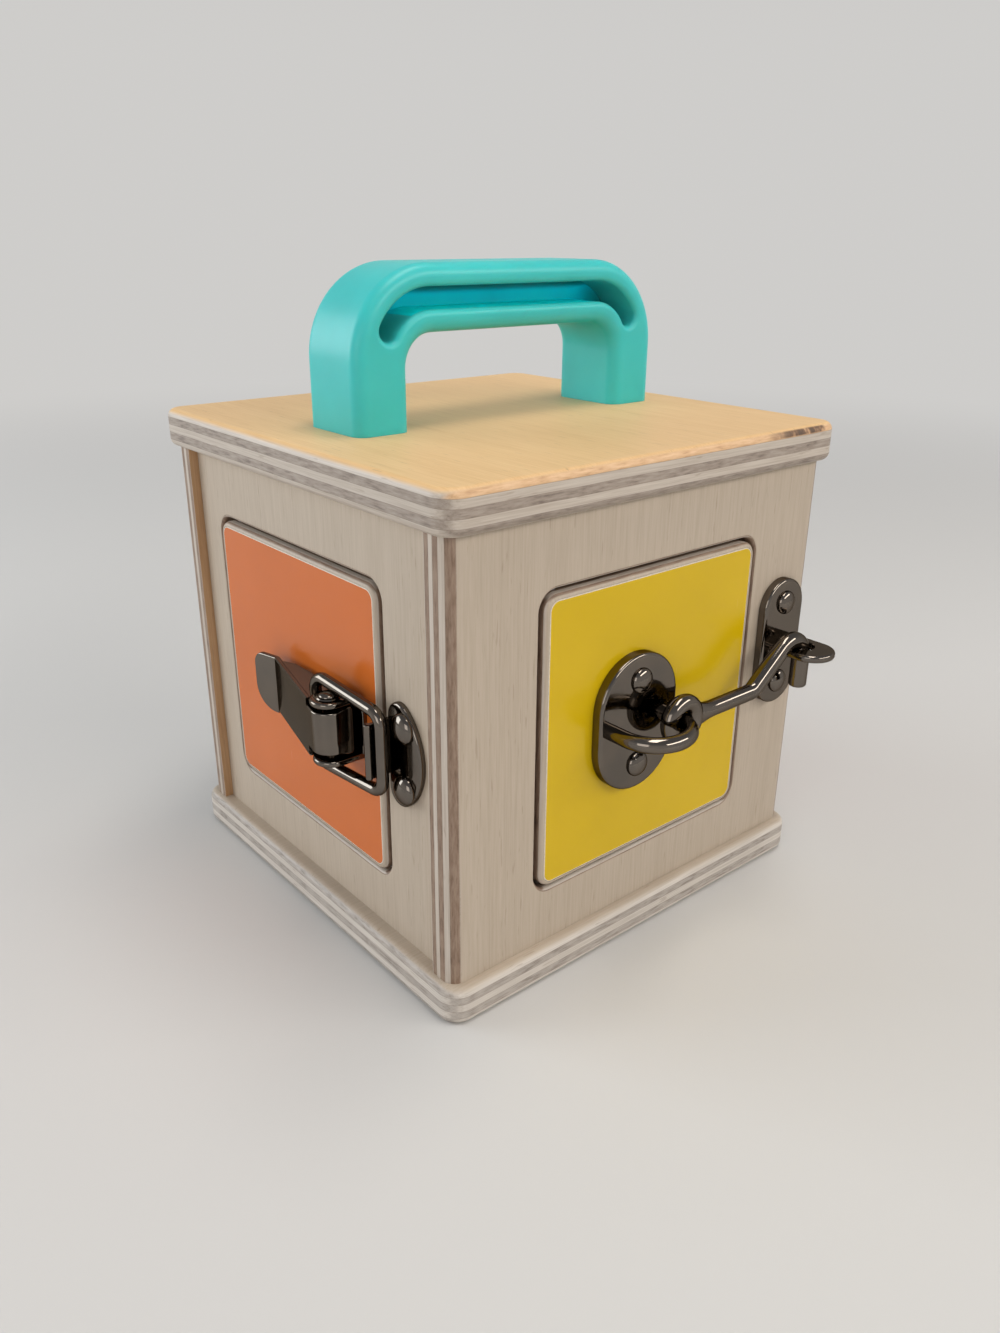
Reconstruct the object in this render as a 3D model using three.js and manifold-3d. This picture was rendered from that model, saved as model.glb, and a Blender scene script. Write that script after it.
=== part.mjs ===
// Wooden lock box: a small plywood case with a carrying handle and a coloured door on each side.
// Every door turns on two hidden pins and is held by a latch of its own: a cabin hook at the
// front, a toggle latch on the left, a barrel bolt at the back and a turn button on the right.
// Millimetres, +Z up, origin at the centre of the base's underside, front door towards -Y.
import * as THREE from 'three';
import { mergeVertices } from 'three/addons/utils/BufferGeometryUtils.js';
import Module from 'manifold-3d';

const wasm = await Module();
wasm.setup();

// Base board and top board
const SLAB_SIZE = 155;
const SLAB_THICKNESS = 12;
const SLAB_CORNER = 5;
const SLAB_ROUND = 2.5;

// Upright panels
const BODY_HEIGHT = 130;
const PANEL_THICKNESS = 9;
const PANEL_WIDTH = 150; // front and back panels, from end to end
const PANEL_SETBACK = 3.4; // front and back faces behind the slab's edge
const PANEL_ROUND = 4.5; // outer upright edges of the front and back panels
const SIDE_RECESS = 2.9; // side faces behind the ends of the front and back panels
const JOINT_GAP = 0.1; // glue line at the ends of the side panels

// Door openings
const OPENING_HEIGHT = 92.4;
const OPENING_CORNER = 6;
const BOTTOM_RAIL = 17.8;
const FRONT_OPENING_WIDTH = 89.4;
const SIDE_OPENING_WIDTH = 93;
const SIDE_LATCH_STILE = 24; // end of the side panel to the latch edge of its opening

// Doors, their coloured facings, pivot pins and stops
const DOOR_THICKNESS = 9;
const DOOR_GAP = 1.2;
const DOOR_PROUD = 0.8;
const DOOR_ROUND = 2.5;
const FACING_THICKNESS = 0.6;
const FACING_EDGE = 0.1;
const PIVOT_INSET = 6; // hinge edge of the door to the pin's axis
const PIN_DIAMETER = 2.5;
const PIN_IN_RAIL = 8;
const PIN_IN_DOOR = 10;
const PIN_CLEARANCE = 0.15;
const STOP_WIDTH = 14;
const STOP_THICKNESS = 7;
const STOP_LENGTH = 60;
const STOP_LAP = 4; // how far the stop reaches behind the door
const STOP_CLEARANCE = 0.3;

// Carrying handle
const HANDLE_LENGTH = 121;
const HANDLE_HEIGHT = 46;
const HANDLE_DEPTH = 22.5;
const HANDLE_BAR = 19;
const HANDLE_LEG = 18;
const HANDLE_OUTER_RADIUS = 26.5;
const HANDLE_INNER_RADIUS = 9.5;
const HANDLE_ROUND = 4;
const GROOVE_WIDTH = 6.3;
const GROOVE_DEPTH = 15;
const GROOVE_END_ANGLE = THREE.MathUtils.degToRad(15);
const HANDLE_SCREW_DIAMETER = 4;
const HANDLE_SCREW_HEAD = 9;
const HANDLE_SCREW_HEAD_HEIGHT = 2.4;
const HANDLE_SCREW_BITE = 18; // length of thread in the handle's foot

// Fittings in common: domed screws and the seat under every plate and screw head
const SEAT = 0.05;
const SCREW_CLEARANCE = 0.15;
const SCREW_HEAD = 9.4;
const SCREW_HEAD_HEIGHT = 2.8;
const SCREW_RIM = 0.5;
const SCREW_SHANK = 3;
const SCREW_LENGTH = 7;
const PLATE_ROUND = 0.8;

// Cabin hook: distances along the wall are from the latch edge of the opening
const HOOK_PLATE_WIDTH = 30.4;
const HOOK_PLATE_HEIGHT = 40;
const HOOK_PLATE_THICKNESS = 3;
const HOOK_PLATE_FROM_EDGE = 53.3;
const HOOK_PLATE_SCREW_SPACING = 26.8;
const STAPLE_WIRE = 4;
const STAPLE_RADIUS = 11;
const STAPLE_LEG = 5; // straight length that stands out of the plate
const HOOK_WIRE = 4.6;
const HOOK_EYE_RADIUS = 5.4; // to the middle of the wire
const HOOK_STANDOFF = 10.9; // panel face to the hook's middle plane
const HOOK_RISE_ANGLE = THREE.MathUtils.degToRad(39);
const HOOK_TIP_LENGTH = 17;
const HOOK_BEND = 4;
const HOOK_REST_GAP = 0.3;
const HOOK_CREST_LAP = 1; // how far the top of the slope reaches over the tongue's edge
const CATCH_WIDTH = 19.6;
const CATCH_HEIGHT = 43;
const CATCH_THICKNESS = 3;
const CATCH_FROM_EDGE = 14.8;
const CATCH_ABOVE_HOOK = 8.2;
const CATCH_SCREW_SPACING = 27.4;
const TONGUE_WIDTH = 15;
const TONGUE_THICKNESS = 2.4;
const TONGUE_REACH = 22; // panel face to the tongue's round end
const TONGUE_HOLE = 8;
const TONGUE_ROUND = 0.5;

// Toggle latch: distances along the wall are from the latch edge of the opening
const TOGGLE_RISE = 1.1; // the latch's middle above the door's
const TOGGLE_PIVOT_FROM_EDGE = 14;
const TOGGLE_PIVOT_STANDOFF = 9.5; // panel face to the lever's pivot
const TOGGLE_BASE_LENGTH = 36;
const TOGGLE_BASE_THICKNESS = 1.5;
const TOGGLE_BASE_CORNER = 3;
const TOGGLE_BASE_PAST_PIVOT = 6;
const TOGGLE_EAR_THICKNESS = 1.8;
const TOGGLE_EAR_RADIUS = 4.2;
const TOGGLE_SIDE_GAP = 0.3;
const TOGGLE_SCREW_PITCH = 11;
const TOGGLE_SCREW_HEAD = 6.6;
const LEVER_HEIGHT = 18.4; // across the lever, along the pivot
const LEVER_BARREL_HEIGHT = 13.4; // the rolled end, which is narrower and turns between the ears
const LEVER_PLATE = 1.8;
const LEVER_FLANGE = 1.6;
const LEVER_BARREL = 11; // outer diameter of the rolled end
const LEVER_RUN = 37.5; // pivot to the crease where the finger tab starts
const LEVER_CREASE_STANDOFF = 6;
const LEVER_TAB = 9.4;
const LEVER_TAB_LIFT = THREE.MathUtils.degToRad(14);
const LEVER_TAB_CORNER = 6.5;
const LEVER_PIN = 3.2;
const LEVER_PIN_HEAD = 6.6;
const LEVER_PIN_HEAD_HEIGHT = 1.1;
const BAIL_WIRE = 3.6;
const BAIL_HALF_HEIGHT = 13.6; // to the middle of the wire
const BAIL_BEND = 3.6;
const BAIL_PIVOT_BEHIND = 9; // from the lever's pivot towards the tab
const BAIL_PIVOT_STANDOFF = 8.3;
const BAIL_BAR_PAST_EDGE = 6.5;
const BAIL_BAR_STANDOFF = 5.8;
const STRIKE_WIDTH = 18.2;
const STRIKE_HEIGHT = 33;
const STRIKE_THICKNESS = 1.8;
const STRIKE_SCREW_SPACING = 18.8;
const STRIKE_SCREW_INSET = 9.6; // from the strike's straight edge
const STRIKE_LIP_HEIGHT = 8;
const STRIKE_LIP_WIDTH = 18.6;
const STRIKE_LIP_GAP = 0.5;
const STRIKE_LIP_BEAD = 2.2;

// Barrel bolt: distances along the wall are from the latch edge of the opening
const BOLT_PLATE_HEIGHT = 32;
const BOLT_PLATE_CORNER = 5;
const BOLT_PLATE_THICKNESS = 1.6;
const BOLT_PLATE_FROM_EDGE = 27.5; // to the plate's centre
const BOLT_SCREW_SPACING = 23;
const BOLT_DIAMETER = 6.4;
const BOLT_CLEARANCE = 0.35;
const BOLT_GUIDE_WIDTH = 7;
const BOLT_GUIDE_WALL = 1.5;
const BOLT_GUIDE_INSET = 3; // end of the plate to the side of a guide
const BOLT_THROW = 20;
const BOLT_TAIL = 2.5; // length that stands out behind the rear guide
const BOLT_KNOB_STEM = 4;
const BOLT_KNOB_SINK = 2.6;
const BOLT_KNOB_DIAMETER = 9;
const BOLT_KNOB_STANDOFF = 9; // bolt axis to the middle of the knob
const BOLT_KNOB_GAP = 0.5;
const KEEPER_WIDTH = 17;
const KEEPER_FROM_EDGE = 12.5;
const KEEPER_GUIDE_WIDTH = 8;

// Turn button: distances along the wall are from the latch edge of the opening
const TURN_PLATE_WIDTH = 17;
const TURN_PLATE_HEIGHT = 36;
const TURN_PLATE_THICKNESS = 2;
const TURN_FROM_EDGE = 11.5;
const TURN_SCREW_SPACING = 25;
const TURN_SCREW_HEAD = 7.4;
const TURN_BOSS_DIAMETER = 11;
const TURN_BOSS_HEIGHT = 3.2;
const TURN_BAR_LENGTH = 21; // pivot to the tip that holds the door
const TURN_BAR_TAIL = 6;
const TURN_BAR_WIDTH = 12;
const TURN_BAR_TIP = 8;
const TURN_BAR_THICKNESS = 3;
const TURN_GRIP_HEIGHT = 7;
const TURN_GRIP_LENGTH = 15;
const TURN_GRIP_THICKNESS = 3.4;
const TURN_GRIP_ROUND = 0.8;
const TURN_GRIP_ROOT = 1; // depth of the grip that is part of the bar
const TURN_PIN_DIAMETER = 3.6;
const TURN_RUNNING_GAP = 0.3;

// Facets: round a full circle, along one arc, along a rounded rim and along one bend of a wire
const FINE_SIDES = 24;
const COARSE_SIDES = 16;
const HOLE_SIDES = 10;
const WIRE_SIDES = 10;
const ARC_STEPS = 4;
const FINE_ARC_STEPS = 8;
const RIM_STEPS = 2;
const FINE_RIM_STEPS = 3;
const BEND_STEPS = 4;

// How far a cutting tool runs on past the face that it opens
const OVERRUN = 1;

// Places that follow from the sizes above
const PANEL_BOTTOM = SLAB_THICKNESS;
const PANEL_TOP = PANEL_BOTTOM + BODY_HEIGHT;
const TOP_FACE = PANEL_TOP + SLAB_THICKNESS;
const FRONT_FACE = SLAB_SIZE / 2 - PANEL_SETBACK;
const SIDE_FACE = PANEL_WIDTH / 2 - SIDE_RECESS;
const SIDE_LENGTH = 2 * (FRONT_FACE - PANEL_THICKNESS - JOINT_GAP);
const OPENING_BOTTOM = PANEL_BOTTOM + BOTTOM_RAIL;
const LATCH_HEIGHT = OPENING_BOTTOM + OPENING_HEIGHT / 2;
const BOLT_GUIDE_SPACING = BOLT_GUIDE_WIDTH + BOLT_THROW + BOLT_KNOB_STEM + 2 * BOLT_KNOB_GAP;
const BOLT_PLATE_LENGTH = BOLT_GUIDE_SPACING + BOLT_GUIDE_WIDTH + 2 * BOLT_GUIDE_INSET;
const QUARTER = Math.PI / 2;

const varnishedTop = finish(0xb98d5e, 0.45, 0);
const birch = finish(0xc3b3a0, 0.6, 0);
const blackNickel = finish(0x4a4542, 0.22, 1);
const zincSteel = finish(0xa9acaf, 0.35, 1);
const turquoisePlastic = finish(0x2f9fa6, 0.4, 0);
const yellowFacing = finish(0xcfa91e, 0.4, 0);
const orangeFacing = finish(0xc8703c, 0.4, 0);
const blueFacing = finish(0x2f7fa3, 0.4, 0);
const redFacing = finish(0xb8403a, 0.4, 0);

function finish(color, roughness, metalness) {
  return new THREE.MeshStandardMaterial({ color, roughness, metalness });
}

// Shared vertices merged, empty triangles dropped and faces turned outwards
function closed(geometry) {
  const bare = geometry.clone();
  bare.deleteAttribute('normal');
  bare.deleteAttribute('uv');
  const merged = mergeVertices(bare, 1e-4);
  const corners = merged.index.array;
  const kept = [];
  for (let i = 0; i < corners.length; i += 3) {
    const [a, b, c] = corners.subarray(i, i + 3);
    if (a !== b && b !== c && c !== a) kept.push([a, b, c]);
  }
  const inward = signedVolume(merged.attributes.position, kept) < 0;
  merged.setIndex(kept.flatMap(([a, b, c]) => (inward ? [a, c, b] : [a, b, c])));
  return merged;
}

function signedVolume(position, triangles) {
  const at = (index) => new THREE.Vector3().fromBufferAttribute(position, index);
  return triangles.reduce((sum, [a, b, c]) => sum + at(a).dot(at(b).cross(at(c))) / 6, 0);
}

function solidOf(geometry) {
  const shell = closed(geometry);
  return new wasm.Manifold(new wasm.Mesh({
    numProp: 3,
    vertProperties: new Float32Array(shell.attributes.position.array),
    triVerts: new Uint32Array(shell.index.array),
  }));
}

function geometryOf(solid) {
  const mesh = solid.getMesh();
  const geometry = new THREE.BufferGeometry();
  geometry.setAttribute('position', new THREE.BufferAttribute(mesh.vertProperties, 3));
  geometry.setIndex(new THREE.BufferAttribute(mesh.triVerts, 1));
  return geometry;
}

function join(first, ...others) {
  return geometryOf(others.reduce((sum, other) => sum.add(solidOf(other)), solidOf(first)));
}

function cut(body, ...tools) {
  return geometryOf(tools.reduce((rest, tool) => rest.subtract(solidOf(tool)), solidOf(body)));
}

// Adds a named piece to a group
function piece(group, name, geometry, material) {
  const shell = closed(geometry);
  shell.computeVertexNormals();
  const mesh = new THREE.Mesh(shell, material);
  mesh.name = name;
  group.add(mesh);
}

function roundedRectangle(width, height, radius) {
  const x = width / 2 - radius;
  const y = height / 2 - radius;
  const shape = new THREE.Shape();
  shape.absarc(x, -y, radius, -QUARTER, 0);
  shape.absarc(x, y, radius, 0, QUARTER);
  shape.absarc(-x, y, radius, QUARTER, 2 * QUARTER);
  shape.absarc(-x, -y, radius, 2 * QUARTER, 3 * QUARTER);
  shape.closePath();
  return shape;
}

function stadium(width, height) {
  return roundedRectangle(width, height, Math.min(width, height) / 2);
}

function polygon(points) {
  return new THREE.Shape(points.map(([x, y]) => new THREE.Vector2(x, y)));
}

// Extrusion from z = 0 to z = depth, with both rims rounded over
function prism(shape, depth, round = 0, arcFacets = ARC_STEPS, rimFacets = RIM_STEPS) {
  const geometry = new THREE.ExtrudeGeometry(shape, {
    depth: depth - 2 * round,
    curveSegments: arcFacets / 2,
    bevelEnabled: round > 0,
    bevelThickness: round,
    bevelSize: round,
    bevelOffset: -round,
    bevelSegments: rimFacets,
  });
  return geometry.translate(0, 0, round);
}

// Turns an outline drawn in x and height to face the front, its back at a distance from the middle
function faceOut(geometry, distance) {
  return geometry.rotateX(QUARTER).translate(0, -distance, 0);
}

function uprightRod(radius, bottom, top, x, distance, sides = COARSE_SIDES) {
  const rod = new THREE.CylinderGeometry(radius, radius, top - bottom, sides).rotateX(QUARTER);
  return rod.translate(x, -distance, (bottom + top) / 2);
}

function outwardRod(radius, inner, outer, x, height, sides = COARSE_SIDES) {
  const rod = new THREE.CylinderGeometry(radius, radius, outer - inner, sides);
  return rod.translate(x, -(inner + outer) / 2, height);
}

function sidewaysRod(radius, left, right, distance, height, sides = COARSE_SIDES) {
  const rod = new THREE.CylinderGeometry(radius, radius, right - left, sides).rotateZ(QUARTER);
  return rod.translate((left + right) / 2, -distance, height);
}

// Body of revolution about the outward direction; the profile is a list of radius and standoff
function turned(profile, x, distance, height, segments = COARSE_SIDES) {
  const points = profile.map(([radius, standoff]) => new THREE.Vector2(radius, standoff));
  const lathe = new THREE.LatheGeometry(points, segments);
  return lathe.rotateX(2 * QUARTER).translate(x, -distance, height);
}

// Quarter ellipse from a rim to the axis, as radius and standoff
function dome(radius, base, rise, steps = 2) {
  const points = [];
  for (let step = 1; step < steps; step += 1) {
    const angle = (step / steps) * QUARTER;
    points.push([radius * Math.cos(angle), base + rise * Math.sin(angle)]);
  }
  points.push([0, base + rise]);
  return points;
}

function domedScrew(x, seat, height, head = SCREW_HEAD) {
  const profile = [
    [0, -SCREW_LENGTH],
    [SCREW_SHANK / 2, -SCREW_LENGTH],
    [SCREW_SHANK / 2, 0],
    [head / 2, 0],
    [head / 2, SCREW_RIM],
    ...dome(head / 2, SCREW_RIM, SCREW_HEAD_HEIGHT - SCREW_RIM),
  ];
  return turned(profile, x, seat + SEAT, height);
}

function screwHole(x, seat, height) {
  const radius = SCREW_SHANK / 2 + SCREW_CLEARANCE;
  const end = seat - SCREW_LENGTH - SCREW_CLEARANCE;
  return outwardRod(radius, end, seat + OVERRUN, x, height, HOLE_SIDES);
}

// Curve that spends its steps where it bends: each piece of it takes a set number of them
class SteppedPath extends THREE.Curve {
  constructor() {
    super();
    this.pieces = [];
  }

  run(from, to) {
    return this.add(new THREE.LineCurve3(from, to), 1);
  }

  add(curve, steps) {
    for (let step = 0; step < steps; step += 1) {
      this.pieces.push({ curve, start: step / steps, length: 1 / steps });
    }
    return this;
  }

  getUtoTmapping(share) {
    return share;
  }

  getPoint(share) {
    const place = share * this.pieces.length;
    const index = Math.min(Math.floor(place), this.pieces.length - 1);
    const { curve, start, length } = this.pieces[index];
    return curve.getPoint(start + (place - index) * length);
  }
}

// Wire along straight runs with rounded corners; each inner corner has the same bend
function wire(corners, bend, diameter) {
  const path = new SteppedPath();
  let start = corners[0];
  for (let i = 1; i < corners.length - 1; i += 1) {
    const corner = corners[i];
    const before = corner.clone().sub(start).setLength(bend);
    const after = corners[i + 1].clone().sub(corner).setLength(bend);
    const entry = corner.clone().sub(before);
    const exit = corner.clone().add(after);
    path.run(start, entry);
    path.add(new THREE.QuadraticBezierCurve3(entry, corner, exit), BEND_STEPS);
    start = exit;
  }
  path.run(start, corners[corners.length - 1]);
  return sweep(path, diameter);
}

function sweep(path, diameter) {
  const section = new THREE.Shape().absarc(0, 0, diameter / 2, 0, 4 * QUARTER);
  const curveSegments = WIRE_SIDES / 2;
  return new THREE.ExtrudeGeometry(section, { steps: path.pieces.length, extrudePath: path, curveSegments });
}

// Base board, top board and handle

function slab(bottom) {
  const outline = roundedRectangle(SLAB_SIZE, SLAB_SIZE, SLAB_CORNER);
  return prism(outline, SLAB_THICKNESS, SLAB_ROUND, ARC_STEPS, FINE_RIM_STEPS).translate(0, 0, bottom);
}

const HANDLE_SCREW_X = (HANDLE_LENGTH - HANDLE_LEG) / 2;

function handleScrewHole(x) {
  const radius = HANDLE_SCREW_DIAMETER / 2 + SCREW_CLEARANCE;
  const end = TOP_FACE + HANDLE_SCREW_BITE + SCREW_CLEARANCE;
  return uprightRod(radius, PANEL_TOP - OVERRUN, end, x, 0, HOLE_SIDES);
}

function handleScrew(x) {
  const length = SLAB_THICKNESS + HANDLE_SCREW_BITE;
  const profile = [
    [0, length],
    [HANDLE_SCREW_DIAMETER / 2, length],
    [HANDLE_SCREW_DIAMETER / 2, 0],
    [HANDLE_SCREW_HEAD / 2, 0],
    ...dome(HANDLE_SCREW_HEAD / 2, 0, -HANDLE_SCREW_HEAD_HEIGHT),
  ];
  const points = profile.map(([radius, rise]) => new THREE.Vector2(radius, rise));
  return new THREE.LatheGeometry(points, COARSE_SIDES).rotateX(QUARTER).translate(x, 0, PANEL_TOP - SEAT);
}

// Arch with an open finger gap; its feet run on below the board so that they can be cut off flat
function handleOutline(run) {
  const half = HANDLE_LENGTH / 2;
  const inner = half - HANDLE_LEG;
  const shoulder = HANDLE_HEIGHT - HANDLE_OUTER_RADIUS;
  const underside = HANDLE_HEIGHT - HANDLE_BAR;
  const outer = HANDLE_OUTER_RADIUS;
  const fillet = HANDLE_INNER_RADIUS;
  const arch = new THREE.Shape();
  arch.moveTo(inner, -run);
  arch.lineTo(half, -run);
  arch.absarc(half - outer, shoulder, outer, 0, QUARTER);
  arch.absarc(outer - half, shoulder, outer, QUARTER, 2 * QUARTER);
  arch.lineTo(-half, -run);
  arch.lineTo(-inner, -run);
  arch.absarc(fillet - inner, underside - fillet, fillet, 2 * QUARTER, QUARTER, true);
  arch.absarc(inner - fillet, underside - fillet, fillet, QUARTER, 0, true);
  arch.closePath();
  return arch;
}

// Deep groove that follows the arch and ends round in each shoulder
function grooveOutline() {
  const centre = HANDLE_LENGTH / 2 - HANDLE_OUTER_RADIUS;
  const shoulder = HANDLE_HEIGHT - HANDLE_OUTER_RADIUS;
  const middle = HANDLE_OUTER_RADIUS - HANDLE_BAR / 2;
  const half = GROOVE_WIDTH / 2;
  const end = GROOVE_END_ANGLE;
  const endX = centre + middle * Math.cos(end);
  const endZ = shoulder + middle * Math.sin(end);
  const groove = new THREE.Shape();
  groove.absarc(centre, shoulder, middle + half, end, QUARTER);
  groove.absarc(-centre, shoulder, middle + half, QUARTER, 2 * QUARTER - end);
  groove.absarc(-endX, endZ, half, 2 * QUARTER - end, 4 * QUARTER - end);
  groove.absarc(-centre, shoulder, middle - half, 2 * QUARTER - end, QUARTER, true);
  groove.absarc(centre, shoulder, middle - half, QUARTER, end, true);
  groove.absarc(endX, endZ, half, 2 * QUARTER + end, 4 * QUARTER + end);
  groove.closePath();
  return groove;
}

function handleBody() {
  const run = 2 * HANDLE_ROUND;
  const blank = prism(handleOutline(run), HANDLE_DEPTH, HANDLE_ROUND, FINE_ARC_STEPS, FINE_RIM_STEPS);
  const arch = faceOut(blank, -HANDLE_DEPTH / 2);
  const groove = prism(grooveOutline(), GROOVE_DEPTH + OVERRUN, 0, FINE_ARC_STEPS);
  faceOut(groove, HANDLE_DEPTH / 2 - GROOVE_DEPTH);
  const below = new THREE.BoxGeometry(2 * HANDLE_LENGTH, 2 * HANDLE_DEPTH, 2 * run).translate(0, 0, -run);
  const screws = [-HANDLE_SCREW_X, HANDLE_SCREW_X].map(handleScrewHole);
  return cut(cut(arch, groove, below).translate(0, 0, TOP_FACE), ...screws);
}

function addBoards(box) {
  const screws = [-HANDLE_SCREW_X, HANDLE_SCREW_X];
  piece(box, 'base_board', slab(0), birch);
  piece(box, 'top_board', cut(slab(PANEL_TOP), ...screws.map(handleScrewHole)), varnishedTop);
  piece(box, 'handle', handleBody(), turquoisePlastic);
  piece(box, 'handle_screw_left', handleScrew(-HANDLE_SCREW_X), zincSteel);
  piece(box, 'handle_screw_right', handleScrew(HANDLE_SCREW_X), zincSteel);
}

// One wall with its door, drawn as the front wall; a turned group carries it to its own side

function wallOf(name, turn, facing) {
  const ahead = name === 'front' || name === 'back';
  const face = ahead ? FRONT_FACE : SIDE_FACE;
  const openingWidth = ahead ? FRONT_OPENING_WIDTH : SIDE_OPENING_WIDTH;
  const latchEdge = ahead ? FRONT_OPENING_WIDTH / 2 : SIDE_LENGTH / 2 - SIDE_LATCH_STILE;
  const group = new THREE.Group();
  group.rotation.z = turn;
  return {
    name,
    ahead,
    facing,
    group,
    face,
    openingWidth,
    latchEdge,
    shift: latchEdge - openingWidth / 2,
    inside: face - PANEL_THICKNESS,
    doorFace: face + DOOR_PROUD,
    pivotX: latchEdge - openingWidth + DOOR_GAP + PIVOT_INSET,
    pivotDistance: face - (PANEL_THICKNESS - DOOR_PROUD) / 2,
  };
}

function panelPlan(wall) {
  if (!wall.ahead) {
    return polygon([
      [-SIDE_LENGTH / 2, -wall.face],
      [SIDE_LENGTH / 2, -wall.face],
      [SIDE_LENGTH / 2, -wall.inside],
      [-SIDE_LENGTH / 2, -wall.inside],
    ]);
  }
  const half = PANEL_WIDTH / 2;
  const plan = new THREE.Shape();
  plan.moveTo(half, -wall.inside);
  plan.lineTo(-half, -wall.inside);
  plan.absarc(PANEL_ROUND - half, PANEL_ROUND - wall.face, PANEL_ROUND, 2 * QUARTER, 3 * QUARTER);
  plan.absarc(half - PANEL_ROUND, PANEL_ROUND - wall.face, PANEL_ROUND, 3 * QUARTER, 4 * QUARTER);
  plan.closePath();
  return plan;
}

function pinAt(wall, end, radius, clearance) {
  const hole = PIN_IN_RAIL + DOOR_GAP + PIN_IN_DOOR + 2 * clearance;
  const lowEnd = OPENING_BOTTOM - PIN_IN_RAIL - clearance;
  const highEnd = OPENING_BOTTOM + OPENING_HEIGHT + PIN_IN_RAIL + clearance - hole;
  const bottom = end === 'upper' ? highEnd : lowEnd;
  return uprightRod(radius, bottom, bottom + hole, wall.pivotX, wall.pivotDistance, HOLE_SIDES);
}

function pinHoles(wall) {
  const radius = PIN_DIAMETER / 2 + PIN_CLEARANCE;
  return ['upper', 'lower'].map((end) => pinAt(wall, end, radius, PIN_CLEARANCE));
}

function openingCutter(wall) {
  const outline = roundedRectangle(wall.openingWidth, OPENING_HEIGHT, OPENING_CORNER);
  const cutter = prism(outline, 2 * PANEL_THICKNESS).translate(wall.shift, LATCH_HEIGHT, 0);
  return faceOut(cutter, wall.inside - PANEL_THICKNESS / 2);
}

function addPanel(wall, screws) {
  const blank = prism(panelPlan(wall), BODY_HEIGHT).translate(0, 0, PANEL_BOTTOM);
  const holes = screws.map(([x, height]) => screwHole(x, wall.face, height));
  const panel = cut(blank, openingCutter(wall), ...pinHoles(wall), ...holes);
  piece(wall.group, `${wall.name}_panel`, panel, birch);
}

function facingOutline(wall, edge) {
  const margin = DOOR_GAP + DOOR_ROUND + edge;
  const corner = OPENING_CORNER - margin;
  return roundedRectangle(wall.openingWidth - 2 * margin, OPENING_HEIGHT - 2 * margin, corner);
}

function addDoor(wall, screws, screwSeat) {
  const width = wall.openingWidth - 2 * DOOR_GAP;
  const outline = roundedRectangle(width, OPENING_HEIGHT - 2 * DOOR_GAP, OPENING_CORNER - DOOR_GAP);
  const place = (geometry, back) => faceOut(geometry.translate(wall.shift, LATCH_HEIGHT, 0), back);
  const blank = place(prism(outline, DOOR_THICKNESS, DOOR_ROUND), wall.doorFace - DOOR_THICKNESS);
  const recess = place(
    prism(facingOutline(wall, 0), 2 * FACING_THICKNESS),
    wall.doorFace - FACING_THICKNESS - SEAT,
  );
  const sheet = place(
    prism(facingOutline(wall, FACING_EDGE), FACING_THICKNESS),
    wall.doorFace - FACING_THICKNESS,
  );
  const holes = screws.map(([x, height]) => screwHole(x, screwSeat, height));
  piece(wall.group, `${wall.name}_door`, cut(blank, recess, ...pinHoles(wall), ...holes), birch);
  piece(wall.group, `${wall.name}_facing`, cut(sheet, ...holes), wall.facing);
  for (const end of ['upper', 'lower']) {
    piece(wall.group, `${wall.name}_pin_${end}`, pinAt(wall, end, PIN_DIAMETER / 2, 0), zincSteel);
  }
}

// Angle-section cleat behind the latch stile; its lip meets the back of the closed door
function addStop(wall) {
  const doorBack = wall.doorFace - DOOR_THICKNESS;
  const lip = doorBack - STOP_CLEARANCE;
  const inner = wall.latchEdge - DOOR_GAP - STOP_LAP;
  const section = polygon([
    [inner, -lip],
    [wall.latchEdge - STOP_CLEARANCE, -lip],
    [wall.latchEdge - STOP_CLEARANCE, SEAT - wall.inside],
    [inner + STOP_WIDTH, SEAT - wall.inside],
    [inner + STOP_WIDTH, STOP_THICKNESS - wall.inside],
    [inner, STOP_THICKNESS - wall.inside],
  ]);
  const cleat = prism(section, STOP_LENGTH).translate(0, 0, LATCH_HEIGHT - STOP_LENGTH / 2);
  piece(wall.group, `${wall.name}_stop`, cleat, birch);
}

function pairAbout(x, height, spacing) {
  return [[x, height + spacing / 2], [x, height - spacing / 2]];
}

function addScrews(wall, stem, places, seat, head = SCREW_HEAD, ends = ['upper', 'lower']) {
  places.forEach(([x, height], index) => {
    const screw = domedScrew(x, seat, height, head);
    piece(wall.group, `${stem}_screw_${ends[index]}`, screw, blackNickel);
  });
}

function fixingPlate(outline, x, height, back, thickness, screws, round = 0) {
  const blank = prism(outline, thickness - SEAT, round, FINE_ARC_STEPS);
  const plate = faceOut(blank.translate(x, height, 0), back + SEAT);
  return cut(plate, ...screws.map(([u, v]) => screwHole(u, back + thickness, v)));
}

// Cabin hook on the front door and its catch on the frame

function hookPlaces(wall) {
  const plateX = wall.latchEdge - HOOK_PLATE_FROM_EDGE;
  const catchX = wall.latchEdge + CATCH_FROM_EDGE;
  const catchHeight = LATCH_HEIGHT + CATCH_ABOVE_HOOK;
  return {
    plateX,
    catchX,
    catchHeight,
    plane: wall.face + HOOK_STANDOFF,
    eyeX: plateX + STAPLE_RADIUS,
    plateFace: wall.doorFace + HOOK_PLATE_THICKNESS,
    catchFace: wall.face + CATCH_THICKNESS,
    plateScrews: pairAbout(plateX, LATCH_HEIGHT, HOOK_PLATE_SCREW_SPACING),
    catchScrews: pairAbout(catchX, catchHeight, CATCH_SCREW_SPACING),
  };
}

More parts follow.
